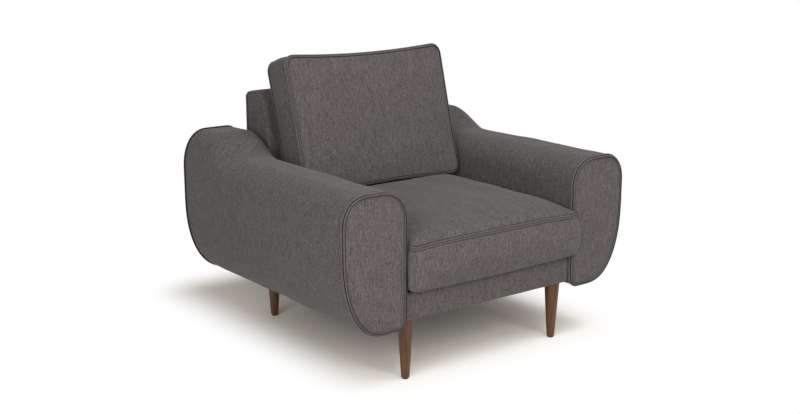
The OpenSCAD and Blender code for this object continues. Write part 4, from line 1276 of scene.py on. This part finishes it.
def look(location, turn_deg, down_deg, lens):
    """The camera, turned from +Y towards +X and tipped below the horizon."""
    data = bpy.data.cameras.new("camera")
    data.lens = lens
    data.sensor_width = 36
    camera = add_object("camera", data)
    camera.location = location
    camera.rotation_euler = (math.radians(90 - down_deg), 0, math.radians(-turn_deg))
    bpy.context.scene.camera = camera


def softbox(name, location, size, power, aim=(0, 0, 0.4)):
    """A white square area lamp that faces a point."""
    data = bpy.data.lights.new(name, "AREA")
    data.size = size
    data.energy = power
    lamp = add_object(name, data)
    lamp.location = location
    way = np.array(aim) - np.array(location)
    lamp.rotation_euler = (math.atan2(math.hypot(way[0], way[1]), -way[2]), 0, math.atan2(-way[0], way[1]))


def seen_white(tree):
    """1 for rays from the camera, a mirror or glass, otherwise 0."""
    path = add_node(tree, "LightPath")
    some = add_node(tree, "Math", {0: path.outputs["Is Camera Ray"], 1: path.outputs["Is Glossy Ray"]},
                    operation="MAXIMUM")
    return add_node(tree, "Math", {0: some.outputs[0], 1: path.outputs["Is Transmission Ray"]},
                    operation="MAXIMUM").outputs[0]


FLOOR_REACH = 60.0
# The floor is shown white to the camera outside this rounded box under the chair, in metres
SHADE_MIDDLE = (0.04, 0.22)
SHADE_HALF = (0.34, 0.48)
SHADE_EDGE = 0.26


def studio():
    """A pale floor that keeps the shadow, a white surround, a key lamp above and three softer ones round
    the front."""
    scene = bpy.context.scene
    scene.view_settings.view_transform = "Standard"
    world = bpy.data.worlds.new("studio")
    scene.world = world
    world.use_nodes = True
    tree = world.node_tree
    back = tree.nodes["Background"]
    level = add_node(tree, "Mix", {0: seen_white(tree), 2: 0.22, 3: 1.0}, data_type="FLOAT")
    tree.links.new(level.outputs[0], back.inputs["Strength"])
    back.inputs["Color"].default_value = (1, 1, 1, 1)

    ring = FLOOR_REACH * np.array([[-1, -1, 0], [1, -1, 0], [1, 1, 0], [-1, 1, 0]])
    floor = add_mesh("floor", ring, [[0, 1, 2, 3]])
    finish, tree, shader = new_finish("matt_white_floor", Roughness=1.0, Specular_IOR_Level=0.0,
                                      Base_Color=linear("#efece6"))
    coat = add_node(tree, "BsdfDiffuse", {"Color": linear("#b3a996")})
    close = add_node(tree, "AddShader", {0: shader.outputs[0], 1: coat.outputs[0]})
    far = add_node(tree, "Emission", {"Color": (1, 1, 1, 1), "Strength": 1.0})
    place = add_node(tree, "Mapping", {0: add_node(tree, "TexCoord").outputs["Object"],
                                       "Location": (-SHADE_MIDDLE[0], -SHADE_MIDDLE[1], 0)})
    out = add_node(tree, "VectorMath", {0: place.outputs[0]}, operation="ABSOLUTE").outputs[0]
    for operation, by in (("SUBTRACT", (*SHADE_HALF, 1)), ("MAXIMUM", (0, 0, 0))):
        out = add_node(tree, "VectorMath", {0: out, 1: by}, operation=operation).outputs[0]
    distance = add_node(tree, "VectorMath", {0: out}, operation="LENGTH").outputs["Value"]
    fade = add_node(tree, "MapRange", {"Value": distance, "From Min": 0.0, "From Max": SHADE_EDGE},
                    interpolation_type="SMOOTHSTEP").outputs[0]
    shown = add_node(tree, "MixShader", {0: fade, 1: close.outputs[0], 2: far.outputs[0]})
    pick = add_node(tree, "MixShader", {0: seen_white(tree), 1: shader.outputs[0], 2: shown.outputs[0]})
    tree.links.new(pick.outputs[0], tree.nodes["Material Output"].inputs["Surface"])
    floor.data.materials.append(finish)

    softbox("key", (1.2, -1.6, 4.6), 1.0, 50)
    softbox("front", (-0.6, -4.1, 2.4), 2.4, 66)
    softbox("left", (-3.4, -2.2, 2.0), 2.4, 70)
    softbox("right", (2.6, -2.6, 3.4), 1.4, 14)


look((-2.3146, -2.9899, 1.3119), 37.488, 13.632, 54.585)
studio()
